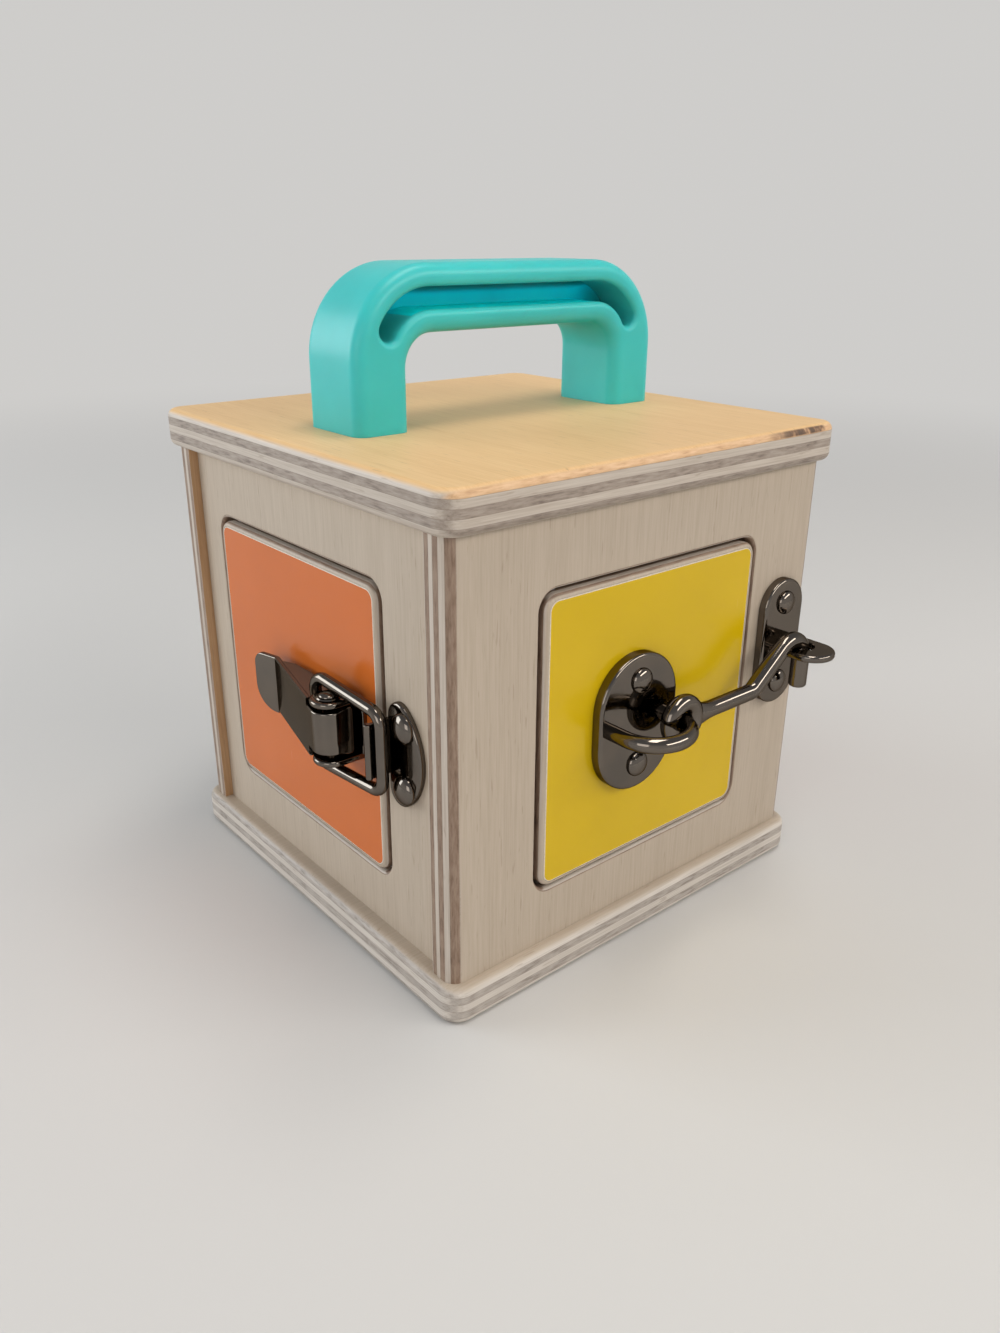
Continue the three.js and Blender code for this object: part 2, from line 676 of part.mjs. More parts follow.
function staple(wall, places) {
  const { plateX, plateFace } = places;
  const crown = plateFace + STAPLE_LEG;
  const top = crown + STAPLE_RADIUS;
  const left = plateX - STAPLE_RADIUS;
  const right = plateX + STAPLE_RADIUS;
  const handleLength = STAPLE_RADIUS * 4 * (Math.SQRT2 - 1) / 3; // of a cubic quarter circle
  const at = (x, distance) => new THREE.Vector3(x, -distance, LATCH_HEIGHT);
  const rise = new THREE.CubicBezierCurve3(
    at(left, crown), at(left, crown + handleLength), at(plateX - handleLength, top), at(plateX, top));
  const fall = new THREE.CubicBezierCurve3(
    at(plateX, top), at(plateX + handleLength, top), at(right, crown + handleLength), at(right, crown));
  const path = new SteppedPath();
  path.run(at(left, wall.doorFace + SEAT), at(left, crown));
  path.add(rise, 2 * BEND_STEPS);
  path.add(fall, 2 * BEND_STEPS);
  path.run(at(right, crown), at(right, wall.doorFace + SEAT));
  return sweep(path, STAPLE_WIRE);
}

// Round eye, straight rod, a slope up over the tongue and a tip that drops through its hole
function cabinHook(places) {
  const { plane, eyeX, catchX, catchHeight } = places;
  const at = (x, height) => new THREE.Vector3(x, -plane, height);
  const crest = catchHeight + TONGUE_THICKNESS / 2 + HOOK_REST_GAP + HOOK_WIRE / 2;
  const crestX = catchX - TONGUE_WIDTH / 2 - HOOK_WIRE / 2 + HOOK_CREST_LAP;
  const bendX = crestX - (crest - LATCH_HEIGHT) / Math.tan(HOOK_RISE_ANGLE);
  const tipEnd = crest - HOOK_TIP_LENGTH + HOOK_WIRE / 2;
  const rod = wire(
    [at(eyeX + HOOK_EYE_RADIUS, LATCH_HEIGHT), at(bendX, LATCH_HEIGHT), at(crestX, crest),
      at(catchX, crest), at(catchX, tipEnd)],
    HOOK_BEND, HOOK_WIRE);
  const eye = new THREE.TorusGeometry(HOOK_EYE_RADIUS, HOOK_WIRE / 2, WIRE_SIDES, COARSE_SIDES);
  const point = new THREE.SphereGeometry(HOOK_WIRE / 2, COARSE_SIDES, FINE_ARC_STEPS);
  eye.rotateX(QUARTER).translate(eyeX, -plane, LATCH_HEIGHT);
  point.translate(catchX, -plane, tipEnd);
  return join(eye, rod, point);
}

function catchPlate(wall, places) {
  const { catchX, catchHeight, catchScrews, catchFace, plane } = places;
  const outline = stadium(CATCH_WIDTH, CATCH_HEIGHT);
  const plate = fixingPlate(
    outline, catchX, catchHeight, wall.face, CATCH_THICKNESS, catchScrews, PLATE_ROUND);
  const half = TONGUE_WIDTH / 2;
  const root = catchFace - CATCH_THICKNESS / 2;
  const tip = wall.face + TONGUE_REACH - half;
  const plan = new THREE.Shape();
  plan.moveTo(half, -root);
  plan.lineTo(-half, -root);
  plan.absarc(0, -tip, half, 2 * QUARTER, 4 * QUARTER);
  plan.closePath();
  const tongue = prism(plan, TONGUE_THICKNESS, TONGUE_ROUND, FINE_ARC_STEPS);
  tongue.translate(catchX, 0, catchHeight - TONGUE_THICKNESS / 2);
  const below = catchHeight - TONGUE_THICKNESS;
  const above = catchHeight + TONGUE_THICKNESS;
  const hole = uprightRod(TONGUE_HOLE / 2, below, above, catchX, plane, FINE_SIDES);
  return cut(join(plate, tongue), hole);
}

function addCabinHook(wall) {
  const places = hookPlaces(wall);
  const { plateX, plateFace, catchFace, plateScrews, catchScrews } = places;
  addPanel(wall, catchScrews);
  addDoor(wall, plateScrews, wall.doorFace);
  const outline = stadium(HOOK_PLATE_WIDTH, HOOK_PLATE_HEIGHT);
  const blank = fixingPlate(
    outline, plateX, LATCH_HEIGHT, wall.doorFace, HOOK_PLATE_THICKNESS, plateScrews, PLATE_ROUND);
  const legHoles = [-STAPLE_RADIUS, STAPLE_RADIUS].map((offset) => outwardRod(
    STAPLE_WIRE / 2 + SCREW_CLEARANCE, wall.doorFace - OVERRUN, plateFace + OVERRUN,
    plateX + offset, LATCH_HEIGHT));
  piece(wall.group, 'hook_plate', cut(blank, ...legHoles), blackNickel);
  piece(wall.group, 'hook_staple', staple(wall, places), blackNickel);
  addScrews(wall, 'hook_plate', plateScrews, plateFace);
  piece(wall.group, 'cabin_hook', cabinHook(places), blackNickel);
  piece(wall.group, 'catch_plate', catchPlate(wall, places), blackNickel);
  addScrews(wall, 'catch_plate', catchScrews, catchFace);
}

// Toggle latch on the left door and its strike on the frame

function togglePlaces(wall) {
  const height = LATCH_HEIGHT + TOGGLE_RISE;
  const pivotX = wall.latchEdge - TOGGLE_PIVOT_FROM_EDGE;
  const baseX = pivotX + TOGGLE_BASE_PAST_PIVOT - TOGGLE_BASE_LENGTH / 2;
  const barX = wall.latchEdge + BAIL_BAR_PAST_EDGE;
  const strikeEdge = barX - BAIL_WIRE / 2 - STRIKE_LIP_GAP - STRIKE_THICKNESS;
  const screwX = baseX - TOGGLE_BASE_PAST_PIVOT;
  const rise = TOGGLE_PIVOT_STANDOFF - LEVER_CREASE_STANDOFF;
  const tangent = Math.asin(LEVER_BARREL / 2 / Math.hypot(rise, LEVER_RUN));
  return {
    height,
    pivotX,
    baseX,
    barX,
    strikeEdge,
    creaseX: pivotX - LEVER_RUN,
    crease: wall.face + LEVER_CREASE_STANDOFF,
    slope: Math.atan2(rise, LEVER_RUN) + tangent,
    pivot: wall.face + TOGGLE_PIVOT_STANDOFF,
    bailX: pivotX - BAIL_PIVOT_BEHIND,
    bail: wall.face + BAIL_PIVOT_STANDOFF,
    bar: wall.face + BAIL_BAR_STANDOFF,
    baseFace: wall.doorFace + TOGGLE_BASE_THICKNESS,
    strikeFace: wall.face + STRIKE_THICKNESS,
    earInside: LEVER_BARREL_HEIGHT / 2 + TOGGLE_SIDE_GAP,
    baseScrews: [-1, 1].map((side) => [screwX + side * TOGGLE_SCREW_PITCH / 2, height]),
    strikeScrews: pairAbout(strikeEdge + STRIKE_SCREW_INSET, height, STRIKE_SCREW_SPACING),
  };
}

// Upright tongue with a round end about the lever's pivot
function earPlan(places, radius, foot) {
  const { pivotX, pivot } = places;
  const plan = new THREE.Shape();
  plan.moveTo(pivotX + radius, -foot);
  plan.lineTo(pivotX - radius, -foot);
  plan.absarc(pivotX, -pivot, radius, 2 * QUARTER, 4 * QUARTER);
  plan.closePath();
  return plan;
}

function toggleBase(wall, places) {
  const { height, pivotX, pivot, baseX, baseFace, earInside, baseScrews } = places;
  const across = 2 * (earInside + TOGGLE_EAR_THICKNESS);
  const outline = roundedRectangle(TOGGLE_BASE_LENGTH, across, TOGGLE_BASE_CORNER);
  const plate = fixingPlate(outline, baseX, height, wall.doorFace, TOGGLE_BASE_THICKNESS, baseScrews);
  const profile = earPlan(places, TOGGLE_EAR_RADIUS, baseFace - TOGGLE_BASE_THICKNESS / 2);
  const ears = [height + earInside, height - earInside - TOGGLE_EAR_THICKNESS].map((bottom) =>
    prism(profile, TOGGLE_EAR_THICKNESS, 0, FINE_ARC_STEPS).translate(0, 0, bottom));
  const bore = uprightRod(
    LEVER_PIN / 2 + PIN_CLEARANCE, height - across, height + across, pivotX, pivot);
  return cut(join(plate, ...ears), bore);
}

// Rivet along the pivot with a domed head past each ear
function leverPin(places) {
  const { height, pivotX, pivot, earInside } = places;
  const shoulder = earInside + TOGGLE_EAR_THICKNESS + SEAT;
  const crown = shoulder + LEVER_PIN_HEAD_HEIGHT;
  const half = [[LEVER_PIN / 2, shoulder], [LEVER_PIN_HEAD / 2, shoulder],
    ...dome(LEVER_PIN_HEAD / 2, shoulder, LEVER_PIN_HEAD_HEIGHT)];
  const mirrored = half.slice(0, -1).map(([radius, rise]) => [radius, -rise]).reverse();
  const points = [[0, -crown], ...mirrored, ...half].map(([radius, rise]) => new THREE.Vector2(radius, rise));
  return new THREE.LatheGeometry(points, COARSE_SIDES).rotateX(QUARTER).translate(pivotX, -pivot, height);
}

// Plan of the lever's rolled sheet: finger tab, crease, long slope and the barrel round the pivot
function leverPlan(places) {
  const { pivotX, pivot, creaseX, crease, slope } = places;
  const tabX = creaseX - LEVER_TAB * Math.cos(LEVER_TAB_LIFT);
  const tab = crease + LEVER_TAB * Math.sin(LEVER_TAB_LIFT);
  const plan = new THREE.Shape();
  plan.moveTo(tabX, -tab);
  plan.lineTo(creaseX, -crease);
  plan.absarc(pivotX, -pivot, LEVER_BARREL / 2, -QUARTER - slope, 2 * QUARTER - slope);
  plan.lineTo(creaseX + LEVER_PLATE * Math.sin(slope), -crease + LEVER_PLATE);
  plan.lineTo(tabX, -tab + LEVER_PLATE);
  plan.closePath();
  return plan;
}

// Side flange between the slope and the door, with the pivot's round at one end
function flangePlan(places) {
  const { pivotX, pivot, creaseX, crease, slope } = places;
  const radius = (LEVER_BARREL - LEVER_PLATE) / 2;
  const plan = new THREE.Shape();
  plan.moveTo(pivotX, radius - pivot);
  plan.lineTo(creaseX + LEVER_PLATE, LEVER_PLATE / 2 - crease);
  plan.absarc(pivotX, -pivot, radius, -QUARTER - slope, QUARTER);
  plan.closePath();
  return plan;
}

function toggleLever(wall, places) {
  const { height, pivotX, pivot, creaseX, bailX, bail, baseFace } = places;
  const low = height - LEVER_HEIGHT / 2;
  const high = height + LEVER_HEIGHT / 2;
  const sheet = prism(leverPlan(places), LEVER_HEIGHT, 0, FINE_ARC_STEPS).translate(0, 0, low);
  const flanges = [low, high - LEVER_FLANGE].map((bottom) =>
    prism(flangePlan(places), LEVER_FLANGE, 0, FINE_ARC_STEPS).translate(0, 0, bottom));
  const tabEnd = creaseX - LEVER_TAB * Math.cos(LEVER_TAB_LIFT);
  const reach = pivotX + 2 * LEVER_BARREL - tabEnd;
  const rounded = roundedRectangle(reach, LEVER_HEIGHT, LEVER_TAB_CORNER);
  const depth = 2 * (TOGGLE_PIVOT_STANDOFF + LEVER_BARREL);
  const trim = faceOut(prism(rounded, depth).translate(tabEnd + reach / 2, height, 0), wall.face);
  const body = geometryOf(solidOf(join(sheet, ...flanges)).intersect(solidOf(trim)));
  const bottom = low - OVERRUN;
  const top = high + OVERRUN;
  const earRoom = earPlan(places, LEVER_BARREL / 2 + TOGGLE_SIDE_GAP, baseFace);
  const barrelHalf = LEVER_BARREL_HEIGHT / 2;
  const notches = [bottom, height + barrelHalf].map((start) =>
    prism(earRoom, height - barrelHalf - bottom, 0, FINE_ARC_STEPS).translate(0, 0, start));
  const bore = uprightRod(LEVER_PIN / 2 + PIN_CLEARANCE, bottom, top, pivotX, pivot);
  const bailHole = uprightRod(BAIL_WIRE / 2 + TOGGLE_SIDE_GAP, bottom, top, bailX, bail);
  return cut(body, ...notches, bore, bailHole);
}

// Wire loop: its turned-in ends pivot in the lever's flanges and its bar pulls on the strike
function toggleBail(places) {
  const { height, bailX, bail, barX, bar } = places;
  const inner = LEVER_HEIGHT / 2 - LEVER_FLANGE;
  const at = (x, distance, rise) => new THREE.Vector3(x, -distance, height + rise);
  return wire(
    [at(bailX, bail, inner), at(bailX, bail, BAIL_HALF_HEIGHT), at(barX, bar, BAIL_HALF_HEIGHT),
      at(barX, bar, -BAIL_HALF_HEIGHT), at(bailX, bail, -BAIL_HALF_HEIGHT), at(bailX, bail, -inner)],
    BAIL_BEND, BAIL_WIRE);
}

// Plate with one straight edge turned up into a beaded lip and a bowed edge opposite
function toggleStrike(wall, places) {
  const { height, strikeEdge, strikeFace, strikeScrews } = places;
  const half = STRIKE_HEIGHT / 2;
  const bow = (half * half + STRIKE_WIDTH * STRIKE_WIDTH) / (2 * STRIKE_WIDTH);
  const sweepAngle = Math.atan2(half, bow - STRIKE_WIDTH);
  const outline = new THREE.Shape();
  outline.absarc(STRIKE_WIDTH - bow, 0, bow, -sweepAngle, sweepAngle);
  outline.closePath();
  const plate = fixingPlate(outline, strikeEdge, height, wall.face, STRIKE_THICKNESS, strikeScrews);
  const rim = strikeFace - STRIKE_THICKNESS + STRIKE_LIP_HEIGHT;
  const lip = new THREE.BoxGeometry(STRIKE_THICKNESS, STRIKE_LIP_HEIGHT - SEAT, STRIKE_LIP_WIDTH);
  lip.translate(strikeEdge + STRIKE_THICKNESS / 2, -(wall.face + SEAT + rim) / 2, height);
  const bead = uprightRod(
    STRIKE_LIP_BEAD / 2, height - STRIKE_LIP_WIDTH / 2, height + STRIKE_LIP_WIDTH / 2,
    strikeEdge + STRIKE_THICKNESS / 2, rim);
  return join(plate, lip, bead);
}

function addToggleLatch(wall) {
  const places = togglePlaces(wall);
  const { baseFace, strikeFace, baseScrews, strikeScrews } = places;
  addPanel(wall, strikeScrews);
  addDoor(wall, baseScrews, wall.doorFace);
  piece(wall.group, 'toggle_base', toggleBase(wall, places), blackNickel);
  addScrews(wall, 'toggle_base', baseScrews, baseFace, TOGGLE_SCREW_HEAD, ['rear', 'front']);
  piece(wall.group, 'lever_pin', leverPin(places), blackNickel);
  piece(wall.group, 'toggle_lever', toggleLever(wall, places), blackNickel);
  piece(wall.group, 'toggle_bail', toggleBail(places), blackNickel);
  piece(wall.group, 'toggle_strike', toggleStrike(wall, places), blackNickel);
  addScrews(wall, 'toggle_strike', strikeScrews, strikeFace);
}

// Barrel bolt on the back door and its keeper on the frame

function boltPlaces(wall) {
  const plateX = wall.latchEdge - BOLT_PLATE_FROM_EDGE;
  const keeperX = wall.latchEdge + KEEPER_FROM_EDGE;
  const plateFace = wall.doorFace + BOLT_PLATE_THICKNESS;
  const frontGuide = plateX + BOLT_GUIDE_SPACING / 2;
  const rearGuide = plateX - BOLT_GUIDE_SPACING / 2;
  return {
    plateX,
    keeperX,
    plateFace,
    frontGuide,
    rearGuide,
    axis: plateFace + SEAT + BOLT_CLEARANCE + BOLT_DIAMETER / 2,
    keeperFace: wall.face + BOLT_PLATE_THICKNESS,
    knobX: frontGuide - BOLT_GUIDE_WIDTH / 2 - BOLT_KNOB_GAP - BOLT_KNOB_STEM / 2,
    tail: rearGuide - BOLT_GUIDE_WIDTH / 2 - BOLT_TAIL,
    tip: keeperX + KEEPER_GUIDE_WIDTH / 2,
    plateScrews: pairAbout(plateX, LATCH_HEIGHT, BOLT_SCREW_SPACING),
    keeperScrews: pairAbout(keeperX, LATCH_HEIGHT, BOLT_SCREW_SPACING),
  };
}

// Saddle that arches over the bolt, drawn in height and standoff and run along the bolt
function boltGuide(x, width, foot, axis) {
  const radius = BOLT_DIAMETER / 2 + BOLT_CLEARANCE + BOLT_GUIDE_WALL;
  const arch = new THREE.Shape();
  arch.moveTo(-radius, foot - axis);
  arch.lineTo(radius, foot - axis);
  arch.absarc(0, 0, radius, 0, 2 * QUARTER);
  arch.closePath();
  const saddle = prism(arch, width, 0, FINE_ARC_STEPS).rotateY(QUARTER).rotateX(2 * QUARTER);
  return saddle.translate(x - width / 2, -axis, LATCH_HEIGHT);
}

function boltFitting(outline, x, back, screws, guides, axis) {
  const plate = fixingPlate(outline, x, LATCH_HEIGHT, back, BOLT_PLATE_THICKNESS, screws);
  const foot = back + BOLT_PLATE_THICKNESS / 2;
  const saddles = guides.map(([centre, width]) => boltGuide(centre, width, foot, axis));
  const bore = sidewaysRod(
    BOLT_DIAMETER / 2 + BOLT_CLEARANCE, x - BOLT_PLATE_LENGTH, x + BOLT_PLATE_LENGTH, axis, LATCH_HEIGHT);
  return cut(join(plate, ...saddles), bore);
}

function slidingBolt(places) {
  const { tail, tip, axis, knobX } = places;
  const nose = new THREE.SphereGeometry(BOLT_DIAMETER / 2, COARSE_SIDES, FINE_ARC_STEPS).rotateZ(QUARTER);
  nose.translate(tip, -axis, LATCH_HEIGHT);
  const socket = outwardRod(
    BOLT_KNOB_STEM / 2 + SCREW_CLEARANCE, axis - BOLT_KNOB_SINK - SCREW_CLEARANCE, axis + BOLT_DIAMETER,
    knobX, LATCH_HEIGHT);
  return cut(join(sidewaysRod(BOLT_DIAMETER / 2, tail, tip, axis, LATCH_HEIGHT), nose), socket);
}

function boltKnob(places) {
  const { knobX, axis } = places;
  const stem = BOLT_KNOB_STEM / 2;
  const ball = BOLT_KNOB_DIAMETER / 2;
  const neck = BOLT_KNOB_STANDOFF - Math.sqrt(ball * ball - stem * stem);
  const profile = [[0, -BOLT_KNOB_SINK], [stem, -BOLT_KNOB_SINK], [stem, neck]];
  const start = Math.asin((neck - BOLT_KNOB_STANDOFF) / ball);
  for (let step = 1; step < FINE_ARC_STEPS; step += 1) {
    const angle = start + (step / FINE_ARC_STEPS) * (QUARTER - start);
    profile.push([ball * Math.cos(angle), BOLT_KNOB_STANDOFF + ball * Math.sin(angle)]);
  }
  profile.push([0, BOLT_KNOB_STANDOFF + ball]);
  return turned(profile, knobX, axis, LATCH_HEIGHT);
}

function addBarrelBolt(wall) {
  const places = boltPlaces(wall);
  const { plateX, keeperX, frontGuide, rearGuide, axis, plateFace, keeperFace } = places;
  addPanel(wall, places.keeperScrews);
  addDoor(wall, places.plateScrews, wall.doorFace);
  const plateOutline = roundedRectangle(BOLT_PLATE_LENGTH, BOLT_PLATE_HEIGHT, BOLT_PLATE_CORNER);
  const keeperOutline = roundedRectangle(KEEPER_WIDTH, BOLT_PLATE_HEIGHT, BOLT_PLATE_CORNER);
  const guides = [[frontGuide, BOLT_GUIDE_WIDTH], [rearGuide, BOLT_GUIDE_WIDTH]];
  const plate = boltFitting(plateOutline, plateX, wall.doorFace, places.plateScrews, guides, axis);
  const keeper = boltFitting(
    keeperOutline, keeperX, wall.face, places.keeperScrews, [[keeperX, KEEPER_GUIDE_WIDTH]], axis);
  piece(wall.group, 'bolt_plate', plate, blackNickel);
  addScrews(wall, 'bolt_plate', places.plateScrews, plateFace, TURN_SCREW_HEAD);
  piece(wall.group, 'sliding_bolt', slidingBolt(places), blackNickel);
  piece(wall.group, 'bolt_knob', boltKnob(places), blackNickel);
  piece(wall.group, 'bolt_keeper', keeper, blackNickel);
  addScrews(wall, 'bolt_keeper', places.keeperScrews, keeperFace, TURN_SCREW_HEAD);
}

// Turn button on the right stile, which swings across the edge of the right door

function turnPlaces(wall) {
  const x = wall.latchEdge + TURN_FROM_EDGE;
  const plateFace = wall.face + TURN_PLATE_THICKNESS;
  const boss = plateFace + TURN_BOSS_HEIGHT;
  return {
    x,
    plateFace,
    boss,
    bar: boss + TURN_RUNNING_GAP,
    barFace: boss + TURN_RUNNING_GAP + TURN_BAR_THICKNESS,
    screws: pairAbout(x, LATCH_HEIGHT, TURN_SCREW_SPACING),
  };
}

function turnPlate(wall, places) {
  const { x, plateFace, boss, screws } = places;
  const outline = stadium(TURN_PLATE_WIDTH, TURN_PLATE_HEIGHT);
  const plate = fixingPlate(outline, x, LATCH_HEIGHT, wall.face, TURN_PLATE_THICKNESS, screws);
  const root = plateFace - TURN_PLATE_THICKNESS / 2;
  const hub = outwardRod(TURN_BOSS_DIAMETER / 2, root, boss, x, LATCH_HEIGHT, FINE_SIDES);
  const bore = outwardRod(
    TURN_PIN_DIAMETER / 2 + PIN_CLEARANCE, wall.face - OVERRUN, boss + OVERRUN, x, LATCH_HEIGHT);
  return cut(join(plate, hub), bore);
}

// Tapered bar with a raised finger grip across the pivot
function turnButton(places) {
  const { x, bar, barFace } = places;
  const wide = TURN_BAR_WIDTH / 2;
  const narrow = TURN_BAR_TIP / 2;
  const outline = new THREE.Shape();
  outline.absarc(0, 0, wide, -QUARTER, QUARTER);
  outline.absarc(narrow - TURN_BAR_LENGTH, 0, narrow, QUARTER, 3 * QUARTER);
  outline.closePath();
  const blade = prism(outline, TURN_BAR_THICKNESS, PLATE_ROUND, FINE_ARC_STEPS);
  const ridgePlan = stadium(TURN_GRIP_LENGTH, TURN_GRIP_THICKNESS);
  const ridge = prism(ridgePlan, TURN_GRIP_HEIGHT + TURN_GRIP_ROOT, TURN_GRIP_ROUND);
  faceOut(blade.translate(x, LATCH_HEIGHT, 0), bar);
  const ridgeX = x + wide - TURN_BAR_TAIL / 2 - TURN_GRIP_LENGTH / 2;
  faceOut(ridge.translate(ridgeX, LATCH_HEIGHT, 0), barFace - TURN_GRIP_ROOT);
  const bore = outwardRod(TURN_PIN_DIAMETER / 2 + PIN_CLEARANCE, bar - OVERRUN, barFace, x, LATCH_HEIGHT);
  return cut(join(blade, ridge), bore);
}

function addTurnButton(wall) {
  const places = turnPlaces(wall);
  const { x, plateFace, barFace, screws } = places;
  addPanel(wall, screws);
  addDoor(wall, [], wall.doorFace);
  piece(wall.group, 'turn_plate', turnPlate(wall, places), blackNickel);
  addScrews(wall, 'turn_plate', screws, plateFace, TURN_SCREW_HEAD);
  const pin = outwardRod(TURN_PIN_DIAMETER / 2, wall.face + SEAT, barFace - PIN_CLEARANCE, x, LATCH_HEIGHT);
  piece(wall.group, 'turn_pin', pin, blackNickel);
  piece(wall.group, 'turn_button', turnButton(places), blackNickel);
}

function buildLockBox() {
  const box = new THREE.Group();
  addBoards(box);
  const walls = [
    [wallOf('front', 0, yellowFacing), addCabinHook],
    [wallOf('left', -QUARTER, orangeFacing), addToggleLatch],
    [wallOf('back', 2 * QUARTER, blueFacing), addBarrelBolt],
    [wallOf('right', QUARTER, redFacing), addTurnButton],
  ];
  for (const [wall, addLatch] of walls) {
    addLatch(wall);
    addStop(wall);
    box.add(wall.group);
  }
  return box;
}

export default buildLockBox();
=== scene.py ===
"""Looks of a wooden lock box: a ply case with a moulded handle and four coloured, latched doors.

Everything is drawn in millimetres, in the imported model's frame: +Z up, origin under the middle of the
base, front door towards -Y. Each wall is drawn as the front wall stands and turned to its own side.
"""

import logging
import math
from collections.abc import Callable, Sequence
from dataclasses import dataclass, field
from enum import Enum

import bmesh
import bpy
from mathutils import Matrix, Vector

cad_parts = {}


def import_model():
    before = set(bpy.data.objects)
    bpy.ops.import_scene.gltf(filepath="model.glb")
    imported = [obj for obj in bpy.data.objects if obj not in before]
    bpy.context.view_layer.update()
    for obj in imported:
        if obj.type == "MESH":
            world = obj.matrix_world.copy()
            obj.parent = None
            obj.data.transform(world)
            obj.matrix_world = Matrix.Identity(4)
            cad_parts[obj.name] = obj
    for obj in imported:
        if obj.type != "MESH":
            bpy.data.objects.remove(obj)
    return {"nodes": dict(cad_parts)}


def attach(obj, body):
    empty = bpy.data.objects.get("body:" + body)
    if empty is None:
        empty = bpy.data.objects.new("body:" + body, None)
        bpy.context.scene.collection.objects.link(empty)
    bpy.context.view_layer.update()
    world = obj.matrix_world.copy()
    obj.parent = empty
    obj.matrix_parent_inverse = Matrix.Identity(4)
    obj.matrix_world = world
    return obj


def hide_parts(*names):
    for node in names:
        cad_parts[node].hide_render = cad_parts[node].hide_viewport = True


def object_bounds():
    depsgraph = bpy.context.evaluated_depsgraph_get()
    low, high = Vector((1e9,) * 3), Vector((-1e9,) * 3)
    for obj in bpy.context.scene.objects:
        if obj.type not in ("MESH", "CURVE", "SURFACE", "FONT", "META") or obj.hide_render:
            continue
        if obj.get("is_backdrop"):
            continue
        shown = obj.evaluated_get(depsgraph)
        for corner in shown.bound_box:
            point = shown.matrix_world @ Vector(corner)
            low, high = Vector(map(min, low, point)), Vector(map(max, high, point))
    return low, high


LOG = logging.getLogger("lock_box")

MM = 0.001
SEAT = 0.05
SUPPORT = 0.15
SAME = 1e-4
WELD = 1e-3
SHARPEST = 0.35
EDGE_STEPS = 4
RIM_STEPS = 6
EASE_STEPS = 8
ARC_STEPS = 12
BEND_STEPS = 16
HALF_STEPS = 24
ROUND_STEPS = 32
BOW_STEPS = 40
SIDES = 48
WIRE_SIDES = 32
SCREW_RISE = 0.55
SCREW_SHANK = 3
SCREW_LENGTH = 7
QUARTER = math.pi / 2
HALF_TURN = math.pi
FULL_TURN = 2 * math.pi
CRISP = math.radians(31)

Point = tuple[float, float]
Outline = list[Point]
Profile = list[tuple[float, float]]
Draw = Callable[..., Vector]
Ring = list[bmesh.types.BMVert]
Colour = tuple[float, float, float]
Place = tuple[float, float, float]
Socket = bpy.types.NodeSocket
Material = bpy.types.Material
Inputs = dict[int | str, object]
Piece = bpy.types.Object


def srgb(red: int, green: int, blue: int) -> Colour:
    """Gives the linear colour of an 8-bit display colour."""
    shares = (channel / 255 for channel in (red, green, blue))
    return tuple(s / 12.92 if s <= 0.04045 else ((s + 0.055) / 1.055) ** 2.4 for s in shares)


# Outlines and profiles


def arc(centre: Point, radius: float, start: float, end: float, steps: int = ARC_STEPS) -> Outline:
    """Points along an arc, both ends included.

    Args:
        centre: middle of the circle.
        radius: its radius.
        start: angle of the first point.
        end: angle of the last point.
        steps: number of chords.

    Returns:
        The points in order.
    """
    angles = [start + (end - start) * step / steps for step in range(steps + 1)]
    return [(centre[0] + radius * math.cos(a), centre[1] + radius * math.sin(a)) for a in angles]


def rounded_rectangle(width: float, height: float, radius: float, centre: Point = (0, 0)) -> Outline:
    """Outline of a rectangle with round corners, counter-clockwise.

    Args:
        width: size along the first axis.
        height: size along the second axis.
        radius: corner radius.
        centre: middle of the rectangle.

    Returns:
        The outline's points.
    """
    x = width / 2 - radius
    y = height / 2 - radius
    corners = [(x, -y), (x, y), (-x, y), (-x, -y)]
    points: Outline = []
    for index, (u, v) in enumerate(corners):
        start = (index - 1) * QUARTER
        points += arc((centre[0] + u, centre[1] + v), radius, start, start + QUARTER)
    return distinct(points)


def stadium(width: float, height: float, centre: Point = (0, 0)) -> Outline:
    """Outline of a rectangle whose short sides are half circles."""
    return rounded_rectangle(width, height, min(width, height) / 2, centre)


def distinct(points: Outline) -> Outline:
    """Drops points that coincide with the one before."""
    kept: Outline = []
    for point in points:
        if not kept or math.dist(point, kept[-1]) > SAME:
            kept.append(point)
    if math.dist(kept[0], kept[-1]) <= SAME:
        kept.pop()
    return kept


def inset(outline: Outline, distance: float) -> Outline:
    """Moves a counter-clockwise outline inwards.

    Args:
        outline: closed outline.
        distance: how far; a negative distance moves it outwards.

    Returns:
        As many points, each moved along its corner's bisector.
    """
    if distance == 0:
        return list(outline)
    moved: Outline = []
    for index, (x, y) in enumerate(outline):
        before = outline[index - 1]
        after = outline[(index + 1) % len(outline)]
        first = Vector((before[1] - y, x - before[0])).normalized()
        second = Vector((y - after[1], after[0] - x)).normalized()
        bisector = (first + second).normalized()
        stretch = distance / max(bisector.dot(first), SHARPEST)
        moved.append((x + bisector.x * stretch, y + bisector.y * stretch))
    return moved


